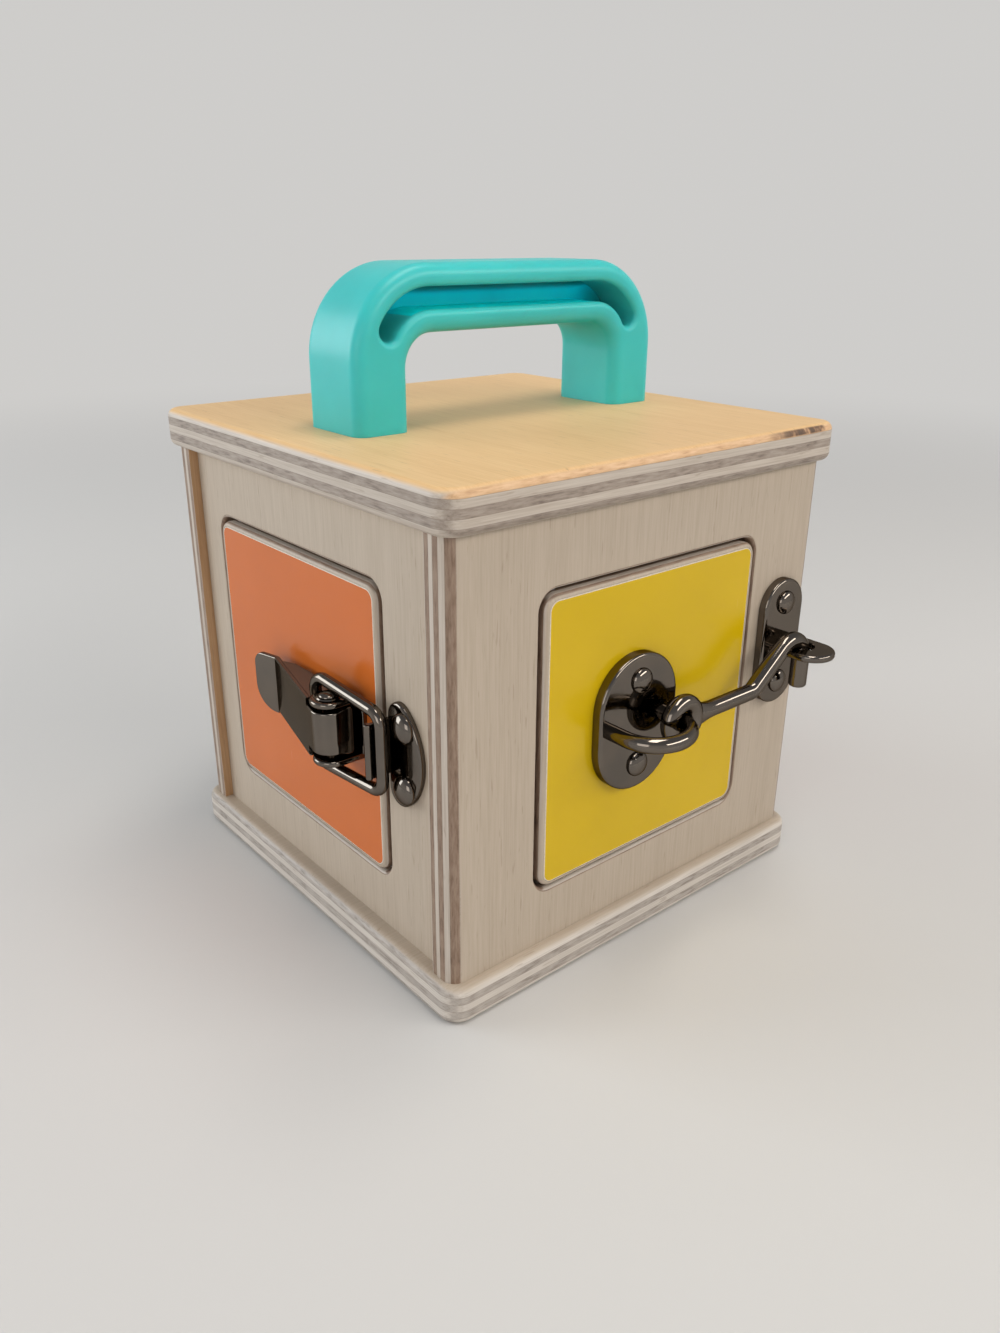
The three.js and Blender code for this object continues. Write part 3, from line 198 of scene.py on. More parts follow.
def eased(start: float, end: float, first: float, last: float, steps: int = RIM_STEPS) -> Profile:
    """Profile of a plate's edge, with a rounded rim at each face.

    Args:
        start: level of the first face.
        end: level of the last face.
        first: radius of the first rim.
        last: radius of the last rim.
        steps: chords along each rim.

    Returns:
        Pairs of inset and level, from a narrow flat on the first face to one on the last.
    """
    way = math.copysign(1, end - start)
    profile: Profile = [(first + SUPPORT, start)]
    for step in range(steps + 1 if first else 1):
        turn = QUARTER * step / steps
        profile.append((first * (1 - math.sin(turn)), start + way * first * (1 - math.cos(turn))))
    if abs(end - start) > first + last + 3 * SUPPORT:
        profile.append((0, start + way * (first + SUPPORT)))
        profile.append((0, end - way * (last + SUPPORT)))
    for step in range(steps, -1, -1) if last else (0,):
        turn = QUARTER * step / steps
        profile.append((last * (1 - math.sin(turn)), end - way * last * (1 - math.cos(turn))))
    profile.append((last + SUPPORT, end))
    return profile


def mirrored(profile: Profile) -> Profile:
    """Profile of a hole's edge, which runs out where a plate's runs in."""
    return [(-distance, level) for distance, level in profile]


def facing(x: float, height: float, distance: float) -> Vector:
    """Point of a drawing that faces out of the front wall."""
    return Vector((x, -distance, height))


def lying(x: float, y: float, level: float) -> Vector:
    """Point of a drawing that lies flat."""
    return Vector((x, y, level))


def bent(corners: Sequence[Vector], radius: float, steps: int = ARC_STEPS) -> list[Vector]:
    """Path of straight runs whose inner corners are arcs.

    Args:
        corners: ends and corners in order.
        radius: radius of each arc.
        steps: chords of each arc.

    Returns:
        Points along the path.
    """
    path = [corners[0].copy()]
    for before, corner, after in zip(corners, corners[1:], corners[2:]):
        back = (before - corner).normalized()
        ahead = (after - corner).normalized()
        half = back.angle(ahead) / 2
        middle = corner + (back + ahead).normalized() * (radius / math.sin(half))
        start = corner + back * (radius / math.tan(half)) - middle
        end = corner + ahead * (radius / math.tan(half)) - middle
        for step in range(steps + 1):
            share = step / steps
            path.append(middle + start.slerp(end, share) * radius)
    path.append(corners[-1].copy())
    return path


class Side(Enum):
    """Side of the box that a wall stands on."""

    FRONT = "front"
    LEFT = "left"
    BACK = "back"
    RIGHT = "right"

    @property
    def turn(self) -> float:
        """Angle that carries the front wall to this side."""
        turns = {Side.FRONT: 0, Side.LEFT: -QUARTER, Side.BACK: HALF_TURN, Side.RIGHT: QUARTER}
        return turns[self]

    @property
    def ahead(self) -> bool:
        """Whether the wall is one of the two that run from end to end."""
        return self in (Side.FRONT, Side.BACK)

    @property
    def matrix(self) -> Matrix:
        """Turn from the front wall, with millimetres made metres."""
        return Matrix.Rotation(self.turn, 4, "Z") @ Matrix.Scale(MM, 4)


class Skin:
    """Surface drawn as rings of points, with walls between the rings and flat caps inside them."""

    def __init__(self) -> None:
        """Starts with no surface."""
        self.bm = bmesh.new()

    def ring(self, points: Sequence[Vector]) -> Ring:
        """Adds the points of one ring."""
        return [self.bm.verts.new(point) for point in points]

    def bridge(self, rings: Sequence[Ring], closed: bool = True) -> None:
        """Puts faces between each ring and the next.

        Args:
            rings: rings with as many points each.
            closed: whether a ring's last point joins its first.
        """
        for near, far in zip(rings, rings[1:]):
            for i in range(len(near) if closed else len(near) - 1):
                j = (i + 1) % len(near)
                self.bm.faces.new((near[i], near[j], far[j], far[i]))

    def cap(self, *rings: Ring) -> None:
        """Fills the flat area inside the first ring and outside the others."""
        edges = []
        for ring in rings:
            for a, b in zip(ring, ring[1:] + ring[:1]):
                edges.append(self.bm.edges.get((a, b)) or self.bm.edges.new((a, b)))
        bmesh.ops.triangle_fill(self.bm, use_beauty=True, edges=edges)

    def pole(self, ring: Ring, point: Vector) -> None:
        """Closes a ring onto one point."""
        tip = self.bm.verts.new(point)
        for a, b in zip(ring, ring[1:] + ring[:1]):
            self.bm.faces.new((a, b, tip))

    def wall(self, outline: Outline, profile: Profile, draw: Draw) -> tuple[Ring, Ring]:
        """Runs a profile round an outline.

        Args:
            outline: closed outline, counter-clockwise.
            profile: pairs of inset and level.
            draw: gives the point of an outline's two coordinates and a level.

        Returns:
            The first ring and the last.
        """
        rings = []
        for distance, level in profile:
            rings.append(self.ring([draw(x, y, level) for x, y in inset(outline, distance)]))
        self.bridge(rings)
        return rings[0], rings[-1]

    def plate(self, outline: Outline, profile: Profile, draw: Draw) -> None:
        """Closed plate: a profile round an outline and a cap on each face."""
        for ring in self.wall(outline, profile, draw):
            self.cap(ring)

    def turned(self, profile: Profile, draw: Draw, sides: int = SIDES) -> None:
        """Closed body of revolution.

        Args:
            profile: pairs of radius and level; the first and last radius are 0.
            draw: gives the point of two coordinates across the axis and a level.
            sides: facets round the axis.
        """
        circle = arc((0, 0), 1, 0, FULL_TURN, sides)[:-1]
        rings = []
        for radius, level in profile[1:-1]:
            rings.append(self.ring([draw(radius * x, radius * y, level) for x, y in circle]))
        self.bridge(rings)
        self.pole(rings[0], draw(0, 0, profile[0][1]))
        self.pole(rings[-1], draw(0, 0, profile[-1][1]))

    def strap(self, path: Outline, sections: Sequence[Outline]) -> None:
        """Upright strap along a flat path.

        Args:
            path: points along the strap's middle.
            sections: for each of them, an outline across the strap: sideways offset and height.
        """
        rings = []
        for index, (x, y) in enumerate(path):
            before = Vector(path[max(index - 1, 0)])
            after = Vector(path[min(index + 1, len(path) - 1)])
            along = (after - before).normalized()
            points = [Vector((x - along.y * out, y + along.x * out, up)) for out, up in sections[index]]
            rings.append(self.ring(points))
        self.bridge(rings)
        self.cap(rings[0])
        self.cap(rings[-1])

    def finish(self, name: str, side: Side = Side.FRONT) -> Piece:
        """Makes the surface an object.

        Args:
            name: the piece's name.
            side: wall that the drawing is turned to.

        Returns:
            The object, in metres and in the row's frame.
        """
        bmesh.ops.remove_doubles(self.bm, verts=self.bm.verts, dist=WELD)
        bmesh.ops.recalc_face_normals(self.bm, faces=self.bm.faces)
        mesh = bpy.data.meshes.new(name)
        self.bm.to_mesh(mesh)
        self.bm.free()
        mesh.transform(side.matrix)
        return shown(name, mesh)


def shown(name: str, mesh: bpy.types.Mesh) -> Piece:
    """Links a mesh to the scene as a smooth piece with crisp edges."""
    mesh.shade_smooth()
    mesh.set_sharp_from_angle(angle=CRISP)
    piece = bpy.data.objects.new(name, mesh)
    bpy.context.scene.collection.objects.link(piece)
    return piece


# Finishes


class NodeKit:
    """Node tree that is built in short calls, each node with its inputs and settings."""

    def __init__(self, tree: bpy.types.NodeTree) -> None:
        """Takes the tree."""
        self.tree = tree

    def feed(self, socket: Socket, value: object) -> None:
        """Links an output to a socket, or sets a plain value on it."""
        if isinstance(value, Socket):
            self.tree.links.new(value, socket)
        elif isinstance(value, tuple) and len(value) == 3 and socket.type == "RGBA":
            socket.default_value = (*value, 1)
        else:
            socket.default_value = value

    def add(self, kind: str, inputs: Inputs | None = None, **settings: object) -> bpy.types.Node:
        """Adds a node.

        Args:
            kind: type of the node.
            inputs: outputs or plain values for its sockets, by their names or numbers.
            settings: the node's own settings.

        Returns:
            The node.
        """
        node = self.tree.nodes.new(kind)
        for key, value in settings.items():
            setattr(node, key, value)
        for key, value in (inputs or {}).items():
            self.feed(node.inputs[key], value)
        return node


class Graph(NodeKit):
    """Node tree of one material, with short calls for the nodes that the finishes share."""

    def __init__(self, name: str) -> None:
        """Starts a material with its shader."""
        self.material = bpy.data.materials.new(name)
        self.material.use_nodes = True
        super().__init__(self.material.node_tree)
        self.shader = self.tree.nodes["Principled BSDF"]
        self.place = self.add("ShaderNodeTexCoord")

    def set(self, name: str, value: object) -> None:
        """Feeds one of the shader's own sockets."""
        self.feed(self.shader.inputs[name], value)

    def math(self, operation: str, first: object, second: object = 0.0) -> Socket:
        """Adds a Math node."""
        return self.add("ShaderNodeMath", {0: first, 1: second}, operation=operation).outputs[0]

    def product(self, *factors: object) -> Socket:
        """Multiplies numbers."""
        result = factors[0]
        for factor in factors[1:]:
            result = self.math("MULTIPLY", result, factor)
        return result

    def rest(self, share: object) -> Socket:
        """Gives what a share leaves of 1."""
        return self.math("SUBTRACT", 1.0, share)

    def blend(self, share: object, first: object, second: object) -> Socket:
        """Mixes two numbers."""
        return self.add("ShaderNodeMix", {0: share, 2: first, 3: second}, data_type="FLOAT").outputs[0]

    def tint(self, share: object, first: object, second: object) -> Socket:
        """Mixes two colours."""
        return self.add("ShaderNodeMix", {0: share, 6: first, 7: second}, data_type="RGBA").outputs[2]

    def smooth(self, value: object, low: float, high: float) -> Socket:
        """Gives 0 below low, 1 above high and a smooth step between."""
        inputs = {"Value": value, "From Min": low, "From Max": high}
        return self.add("ShaderNodeMapRange", inputs, interpolation_type="SMOOTHSTEP").outputs["Result"]

    def range(self, value: object, low: float, high: float) -> Socket:
        """Spreads a value from 0 to 1 over low to high."""
        inputs = {"Value": value, "To Min": low, "To Max": high}
        return self.add("ShaderNodeMapRange", inputs).outputs["Result"]

    def split(self, vector: Socket) -> list[Socket]:
        """Gives a vector's three parts."""
        return list(self.add("ShaderNodeSeparateXYZ", {0: vector}).outputs)

    def joined(self, x: object, y: object, z: object) -> Socket:
        """Makes a vector of three parts."""
        return self.add("ShaderNodeCombineXYZ", {0: x, 1: y, 2: z}).outputs[0]

    def scaled(self, x: float, y: float, z: float) -> Socket:
        """Object coordinates, stretched."""
        inputs = {"Vector": self.place.outputs["Object"], "Scale": (x, y, z)}
        return self.add("ShaderNodeMapping", inputs).outputs[0]

    def noise(self, vector: object, scale: float, detail: float = 3, rough: float = 0.5) -> Socket:
        """Adds a noise texture."""
        inputs = {"Vector": vector, "Scale": scale, "Detail": detail, "Roughness": rough}
        return self.add("ShaderNodeTexNoise", inputs).outputs[0]

    def tones(self, share: object, places: Sequence[float], colours: Sequence[Colour]) -> Socket:
        """Adds a colour ramp.

        Args:
            share: place along the ramp.
            places: places of the colours, two or more.
            colours: as many colours.

        Returns:
            The colour.
        """
        node = self.add("ShaderNodeValToRGB", {0: share})
        elements = node.color_ramp.elements
        for place in places[2:]:
            elements.new(place)
        for element, place, colour in zip(elements, places, colours):
            element.position = place
            element.color = (*colour, 1)
        return node.outputs[0]

    def bump(self, height: object, strength: float, depth: float) -> None:
        """Lets a height raise the surface.

        Args:
            height: height from 0 to 1.
            strength: how much of it shows.
            depth: its size in metres.
        """
        inputs = {"Strength": strength, "Distance": depth, "Height": height}
        self.set("Normal", self.add("ShaderNodeBump", inputs).outputs[0])


class Axis(Enum):
    """Axis of the row's frame."""

    X = 0
    Y = 1
    Z = 2


class Wood(Enum):
    """Dark, middle and light tone of the wood, by how it is cut and treated."""

    BIRCH = (srgb(174, 158, 140), srgb(181, 166, 148), srgb(187, 172, 155))
    SAWN = (srgb(174, 160, 146), srgb(190, 178, 165), srgb(201, 190, 178))
    SANDED = (srgb(184, 174, 163), srgb(203, 194, 184), srgb(214, 206, 197))
    # Painted warm bounce light: a warm tone for the panels' inner faces that stands for warm light
    # reflected into the shaded recess at the box's corners.
    RAW = (srgb(172, 132, 94), srgb(184, 145, 106), srgb(194, 157, 119))
    VARNISHED = (srgb(214, 173, 119), srgb(222, 183, 130), srgb(227, 190, 139))
    OPEN_ENDS = (srgb(122, 108, 98), srgb(149, 135, 123), srgb(167, 154, 142))
    SANDED_ENDS = (srgb(136, 126, 117), srgb(165, 155, 146), srgb(183, 174, 165))
    CUT_ENDS = (srgb(106, 84, 68), srgb(133, 109, 91), srgb(150, 128, 110))
    SEALED_ENDS = (srgb(188, 146, 106), srgb(208, 168, 126), srgb(220, 184, 144))

    def grain(self, graph: Graph, figure: Socket) -> Socket:
        """Spreads the tones over a figure of long grain."""
        return graph.tones(figure, (0.34, 0.5, 0.66), self.value)

    def end_grain(self, graph: Graph, figure: Socket) -> Socket:
        """Spreads the tones over a figure of end grain."""
        return graph.tones(figure, (0.34, 0.46, 0.62), self.value)


@dataclass(frozen=True)
class BarkStreak:
    """Dark bark left in the first ply's front edge: its run along the edge and where the edge is."""

    start: float
    end: float
    edge: float
    fade: float = 2
    shallow: float = 1.3
    deep: float = 0.7
    bottom: float = 2
    bottom_fade: float = 0.4
    share: float = 0.92
    colours: tuple[Colour, Colour] = (srgb(126, 84, 54), srgb(62, 42, 30))

    def lay(self, graph: Graph, wood: Socket, depth: Socket) -> Socket:
        """Lays the streak into the wood.

        Args:
            graph: the material's nodes.
            wood: colour so far.
            depth: depth below the face.

        Returns:
            The colour with the streak in it.
        """
        x, y, _ = graph.split(graph.place.outputs["Object"])
        starts = graph.smooth(x, self.start * MM, (self.start + self.end) / 2 * MM)
        ends = graph.smooth(x, (self.end - self.fade) * MM, self.end * MM)
        ahead = graph.math("MULTIPLY", y, -1.0)
        on_edge = graph.smooth(ahead, (self.edge - self.shallow) * MM, (self.edge - self.deep) * MM)
        below = graph.smooth(depth, self.bottom * MM, (self.bottom + self.bottom_fade) * MM)
        flecks = graph.noise(graph.scaled(1, 0.5, 0.5), 260, detail=3, rough=0.6)
        broken = graph.smooth(flecks, 0.3, 0.5)
        mask = graph.product(starts, graph.rest(ends), on_edge, graph.rest(below), broken, self.share)
        return graph.tint(mask, wood, graph.tones(flecks, (0.35, 0.55), self.colours))


@dataclass(frozen=True)
class Plywood:
    """Birch ply as one solid pattern: plies by depth, grain that crosses from ply to ply, and end grain."""

    name: str
    stack: Axis
    first_grain: Axis
    cross_grain: Axis
    face: float
    thickness: float
    ply: float
    face_wood: Wood
    edge_wood: Wood
    end_wood: Wood
    first_ends: Wood | None = None
    # Tone painted on the faces of the back half: painted warm bounce light in shade.
    back_bounce_wood: Wood | None = None
    first_ply: float | None = None
    end_from: float = 0.45
    end_to: float = 0.8
    one_face: bool = False
    streak: BarkStreak | None = None
    gloss: float = 0.45
    plies: int = 5
    lead: float = 0.02
    waver: float = 0.12
    stretch: float = 0.035
    fleck_stretch: float = 0.13
    fleck_share: float = 0.3
    fleck: Colour = srgb(132, 108, 86)
    glue_share: float = 0.38
    glue: Colour = srgb(96, 74, 60)

    def layers(self, graph: Graph, level: Socket) -> tuple[Socket, Socket, Socket]:
        """Counts the plies from the face, or from the nearer of the two faces.

        Args:
            graph: the material's nodes.
            level: place along the stack.

        Returns:
            The depth, the count of plies down to it, and whether it is in the back half.
        """
        if self.stack is not Axis.Z:
            level = graph.math("ABSOLUTE", level)
        depth = graph.math("SUBTRACT", (self.face + self.lead) * MM, level)
        behind = graph.math("GREATER_THAN", depth, self.thickness / 2 * MM)
        if not self.one_face:
            depth = graph.math("MINIMUM", depth, graph.math("SUBTRACT", self.thickness * MM, depth))
        if self.first_ply is not None:
            depth = graph.math("ADD", depth, (self.ply - self.first_ply) * MM)
        drift = graph.noise(graph.scaled(1, 1, 1), 60, detail=1)
        depth = graph.math("ADD", depth, graph.range(drift, -self.waver * MM, self.waver * MM))
        count = graph.math("DIVIDE", depth, self.ply * MM)
        count = graph.math("MINIMUM", graph.math("MAXIMUM", count, 0.0), self.plies - 0.01)
        return depth, count, behind

    def make(self) -> Material:
        """Builds the material."""
        graph = Graph(self.name)
        place = graph.split(graph.place.outputs["Object"])
        normal = [graph.math("ABSOLUTE", part) for part in graph.split(graph.place.outputs["Normal"])]
        depth, count, behind = self.layers(graph, place[self.stack.value])
        first, cross = self.first_grain.value, self.cross_grain.value
        crossed = graph.math("MODULO", graph.math("FLOOR", count), 2.0)
        along = graph.blend(crossed, place[first], place[cross])
        across = graph.blend(crossed, place[cross], place[first])
        ended = graph.smooth(graph.blend(crossed, normal[first], normal[cross]), self.end_from, self.end_to)
        on_face = graph.smooth(normal[self.stack.value], 0.35, 0.9)
        outer = graph.math("LESS_THAN", count, 1.0)

        grain = graph.joined(graph.product(along, self.stretch), across, graph.product(depth, 1.5))
        fine = graph.noise(grain, 1500, detail=4, rough=0.62)
        figure = graph.blend(0.25, fine, graph.noise(grain, 230, detail=2))
        face = self.face_wood.grain(graph, figure)
        # Painted warm bounce light on the inner faces.
        if self.back_bounce_wood is not None:
            face = graph.tint(behind, face, self.back_bounce_wood.grain(graph, figure))
        edge = self.edge_wood.grain(graph, figure)
        wood = graph.tint(graph.product(on_face, outer), edge, face)
        flecks = graph.joined(graph.product(along, self.fleck_stretch), graph.product(across, 1.5), depth)
        flecks = graph.smooth(graph.noise(flecks, 950, detail=1), 0.68, 0.76)
        wood = graph.tint(graph.product(flecks, self.fleck_share), wood, self.fleck)

        short = graph.joined(along, graph.product(across, self.fleck_stretch), depth)
        pores = graph.noise(short, 1500, detail=3, rough=0.6)
        figure = graph.blend(0.3, pores, graph.noise(graph.joined(across, along, 0.0), 120, detail=2))
        ends = self.end_wood.end_grain(graph, figure)
        if self.first_ends is not None:
            ends = graph.tint(outer, ends, self.first_ends.end_grain(graph, figure))
        wood = graph.tint(ended, wood, ends)

        part = graph.math("FRACT", count)
        joint = graph.math("MINIMUM", part, graph.rest(part))
        glued = graph.product(graph.rest(graph.smooth(joint, 0.015, 0.06)), graph.rest(on_face))
        wood = graph.tint(graph.product(glued, self.glue_share), wood, self.glue)
        if self.streak is not None:
            wood = self.streak.lay(graph, wood, depth)
        graph.set("Base Color", wood)
        rough = graph.range(fine, self.gloss - 0.06, self.gloss + 0.1)
        graph.set("Roughness", graph.blend(ended, rough, 0.5))
        relief = graph.blend(ended, graph.product(fine, 0.35), pores)
        graph.bump(relief, strength=0.3, depth=0.12 * MM)
        return graph.material


@dataclass(frozen=True)
class Facing:
    """Hard coloured sheet on a door: even colour, faint orange peel and hairline scratches."""

    name: str
    colour: Colour
    roughness: float = 0.2
    shine: float = 0.3
    scratch_matt: float = 0.08
    scratch_depth: float = 0.15

    def make(self) -> Material:
        """Builds the material."""
        graph = Graph(self.name)
        clouds = graph.noise(graph.scaled(1, 1, 1), 26)
        deep = tuple(channel * 0.96 for channel in self.colour)
        pale = tuple(min(channel * 1.03 + 0.002, 1) for channel in self.colour)
        graph.set("Base Color", graph.tones(clouds, (0.3, 0.52, 0.75), (deep, self.colour, pale)))
        graph.set("Specular IOR Level", self.shine)
        peel = graph.noise(graph.scaled(1, 1, 1), 700, detail=2)
        hairs = graph.noise(graph.scaled(1, 1.6, 0.06), 900, detail=2)
        scratches = graph.smooth(hairs, 0.72, 0.8)
        smears = graph.range(graph.noise(graph.scaled(1, 1, 1), 55, detail=4), -0.05, 0.06)
        rough = graph.math("ADD", smears, self.roughness)
        graph.set("Roughness", graph.math("ADD", rough, graph.product(scratches, self.scratch_matt)))
        relief = graph.math("SUBTRACT", peel, graph.product(scratches, self.scratch_depth))
        graph.bump(relief, strength=0.06, depth=0.08 * MM)
        return graph.material


@dataclass(frozen=True)
class Nickel:
    """Polished dark nickel plate with a little hand smear."""

    name: str = "black_nickel"
    # The dark nickel's own tint, made warmer as a painted reflection of warm brown surroundings.
    colour: Colour = (0.148, 0.132, 0.117)
    warm: Colour = (0.185, 0.157, 0.132)
    edge: Colour = (0.42, 0.39, 0.36)

    def make(self) -> Material:
        """Builds the material."""
        graph = Graph(self.name)
        drift = graph.noise(graph.scaled(1, 1, 1), 70)
        graph.set("Base Color", graph.tones(drift, (0.3, 0.7), (self.colour, self.warm)))
        graph.set("Metallic", 1.0)
        graph.set("Specular Tint", self.edge)
        smear = graph.noise(graph.scaled(1, 1.7, 0.8), 160, detail=5, rough=0.62)
        graph.set("Roughness", graph.range(graph.smooth(smear, 0.4, 0.75), 0.06, 0.16))
        ripple = graph.noise(graph.scaled(1, 1, 1), 130, detail=2)
        graph.bump(ripple, strength=0.05, depth=0.2 * MM)
        return graph.material


@dataclass(frozen=True)
class GrooveShade:
    """Deeper tone in the groove's ends and under its upper lip, by place on the handle."""

    middle: float
    upper: float
    colour: Colour = srgb(16, 150, 148)
    ends_from: float = 33
    ends_to: float = 50
    upper_fade: float = 2.4

    def lay(self, graph: Graph, tone: Socket) -> Socket:
        """Lays the shade over a colour."""
        x, _, level = graph.split(graph.place.outputs["Object"])
        aside = graph.math("ABSOLUTE", graph.math("SUBTRACT", x, self.middle * MM))
        ends = graph.smooth(aside, self.ends_from * MM, self.ends_to * MM)
        above = graph.smooth(level, (self.upper - self.upper_fade) * MM, self.upper * MM)
        return graph.tint(graph.math("MAXIMUM", ends, above), tone, self.colour)


@dataclass(frozen=True)
class MouldedPlastic:
    """Satin moulded plastic with a fine spark-eroded texture."""

    name: str = "turquoise_plastic"
    colour: Colour = srgb(62, 190, 188)
    scatter: float = 0.5
    depth: float = 6
    spread: Colour = (0.15, 0.8, 1.0)
    shine: float = 0.36
    shade: GrooveShade | None = None

    def make(self) -> Material:
        """Builds the material."""
        graph = Graph(self.name)
        clouds = graph.noise(graph.scaled(1, 1, 1), 40)
        deep = tuple(channel * 0.93 for channel in self.colour)
        pale = tuple(min(channel * 1.05 + 0.003, 1) for channel in self.colour)
        tone = graph.tones(clouds, (0.3, 0.5, 0.72), (deep, self.colour, pale))
        graph.set("Base Color", self.shade.lay(graph, tone) if self.shade else tone)
        grit = graph.noise(graph.scaled(1, 1, 1), 2400, rough=0.6)
        graph.set("Roughness", graph.range(grit, 0.3, 0.44))
        graph.set("Specular IOR Level", self.shine)
        graph.set("Subsurface Weight", self.scatter)
        graph.set("Subsurface Radius", self.spread)
        graph.set("Subsurface Scale", self.depth * MM)
        graph.bump(grit, strength=0.16, depth=0.1 * MM)
        return graph.material


@dataclass(frozen=True)
class FineGrain:
    """Plain stuff that shows little: two tones, gloss and relief of one fine grain."""

    name: str
    dark: Colour
    light: Colour
    places: Point
    roughness: Point
    scale: float
    stretch: float = 1
    detail: float = 3
    rough: float = 0.5
    metallic: float = 0
    strength: float = 0.1
    depth: float = 0.05

    def make(self) -> Material:
        """Builds the material."""
        graph = Graph(self.name)
        grain = graph.noise(graph.scaled(1, 1, self.stretch), self.scale, self.detail, self.rough)
        graph.set("Base Color", graph.tones(grain, self.places, (self.dark, self.light)))
        graph.set("Metallic", self.metallic)
        graph.set("Roughness", graph.range(grain, *self.roughness))
        graph.bump(grain, self.strength, self.depth * MM)
        return graph.material


@dataclass(frozen=True)
class StudioFloor:
    """Pale, even studio floor that runs into the horizon's tone away from the object."""

    horizon: Colour
    name: str = "studio_floor"
    colour: Colour = (0.6, 0.59, 0.575)
    fade_from: float = 0.35
    fade_to: float = 1.3

    def make(self) -> Material:
        """Builds the material."""
        graph = Graph(self.name)
        graph.set("Base Color", self.colour)
        graph.set("Roughness", 0.6)
        length = graph.add("ShaderNodeVectorMath", {0: graph.place.outputs["Object"]}, operation="LENGTH")
        far = graph.smooth(length.outputs["Value"], self.fade_from, self.fade_to)
        rays = graph.add("ShaderNodeLightPath").outputs
        seen = graph.math("MAXIMUM", rays["Is Camera Ray"], rays["Is Glossy Ray"])
        seen = graph.math("MAXIMUM", seen, rays["Is Transmission Ray"])
        glow = graph.add("ShaderNodeEmission", {"Color": self.horizon})
        shaders = {0: graph.product(far, seen), 1: graph.shader.outputs[0], 2: glow.outputs[0]}
        mix = graph.add("ShaderNodeMixShader", shaders)
        graph.feed(graph.tree.nodes["Material Output"].inputs["Surface"], mix.outputs[0])
        return graph.material


class Stock:
    """Every material of the box, each made once."""

    def __init__(self) -> None:
        """Makes the materials."""
        case, handle = Case(), Handle()
        self.top_board = Plywood(
            "varnished_ply", Axis.Z, Axis.Y, Axis.X, case.top, case.slab_thickness, case.slab_ply,
            Wood.VARNISHED, Wood.SAWN, Wood.OPEN_ENDS, first_ends=Wood.SEALED_ENDS, one_face=True,
            streak=BarkStreak(start=38, end=70, edge=case.slab_size / 2)).make()
        self.base_board = Plywood(
            "birch_ply_base", Axis.Z, Axis.X, Axis.Y, case.slab_thickness, case.slab_thickness,
            case.slab_ply, Wood.BIRCH, Wood.SANDED, Wood.SANDED_ENDS).make()
        self.panels: dict[bool, Material] = {}
        self.doors: dict[bool, Material] = {}
        for side in (Side.FRONT, Side.LEFT):
            wall = case.wall(side)
            run = "ahead" if side.ahead else "side"
            stack, cross = (Axis.Y, Axis.X) if side.ahead else (Axis.X, Axis.Y)
            # The panels' inner faces get the painted warm bounce light.
            self.panels[side.ahead] = Plywood(
                f"birch_ply_panel_{run}", stack, Axis.Z, cross, wall.face, case.panel_thickness,
                case.panel_ply, Wood.BIRCH, Wood.SAWN, Wood.CUT_ENDS, back_bounce_wood=Wood.RAW,
                first_ply=case.panel_face_ply, end_from=0.2, end_to=0.36, gloss=0.5).make()
            self.doors[side.ahead] = Plywood(
                f"birch_ply_door_{run}", stack, Axis.Z, cross, wall.door_face, case.panel_thickness,
                case.door_ply, Wood.BIRCH, Wood.SAWN, Wood.CUT_ENDS,
                first_ply=case.door_face_ply, gloss=0.5).make()
        self.nickel = Nickel().make()
        self.plastic = MouldedPlastic().make()
        shade = GrooveShade(handle.aside, case.top + handle.shade_level)
        # Lit copy of the plastic for the groove's floor and lower wall: a brighter, more saturated colour
        # painted in as light coming through the thin plastic, on top of its real subsurface scatter.
        self.lit_thin_plastic = MouldedPlastic(
            "turquoise_plastic_thin_lit", srgb(4, 228, 240), scatter=1.0, depth=20,
            spread=(0.06, 0.9, 1.0), shine=0.15, shade=shade).make()
        self.zinc = FineGrain(
            "zinc_steel", (0.315, 0.322, 0.336), (0.45, 0.46, 0.48), places=(0.35, 0.6),
            roughness=(0.28, 0.45), scale=1800, stretch=0.08, metallic=1).make()
        self.cleat = FineGrain(
            "cleat_wood", srgb(186, 158, 128), srgb(218, 194, 164), places=(0.34, 0.62),
            roughness=(0.5, 0.68), scale=900, stretch=0.04, detail=4, rough=0.6,
            strength=0.2, depth=0.1).make()
        paper = srgb(233, 224, 208)
        self.core = FineGrain(
            "facing_core", tuple(channel * 0.85 for channel in paper), paper, places=(0.35, 0.6),
            roughness=(0.45, 0.6), scale=1500).make()
        self.floor = StudioFloor(Studio().horizon).make()
        self.facings = {
            Side.FRONT: Facing("yellow_facing", srgb(208, 173, 10)).make(),
            Side.LEFT: Facing("orange_facing", srgb(202, 105, 42)).make(),
            Side.BACK: Facing("blue_facing", srgb(36, 124, 164)).make(),
            Side.RIGHT: Facing("red_facing", srgb(184, 54, 46)).make(),
        }


# Geometry Nodes


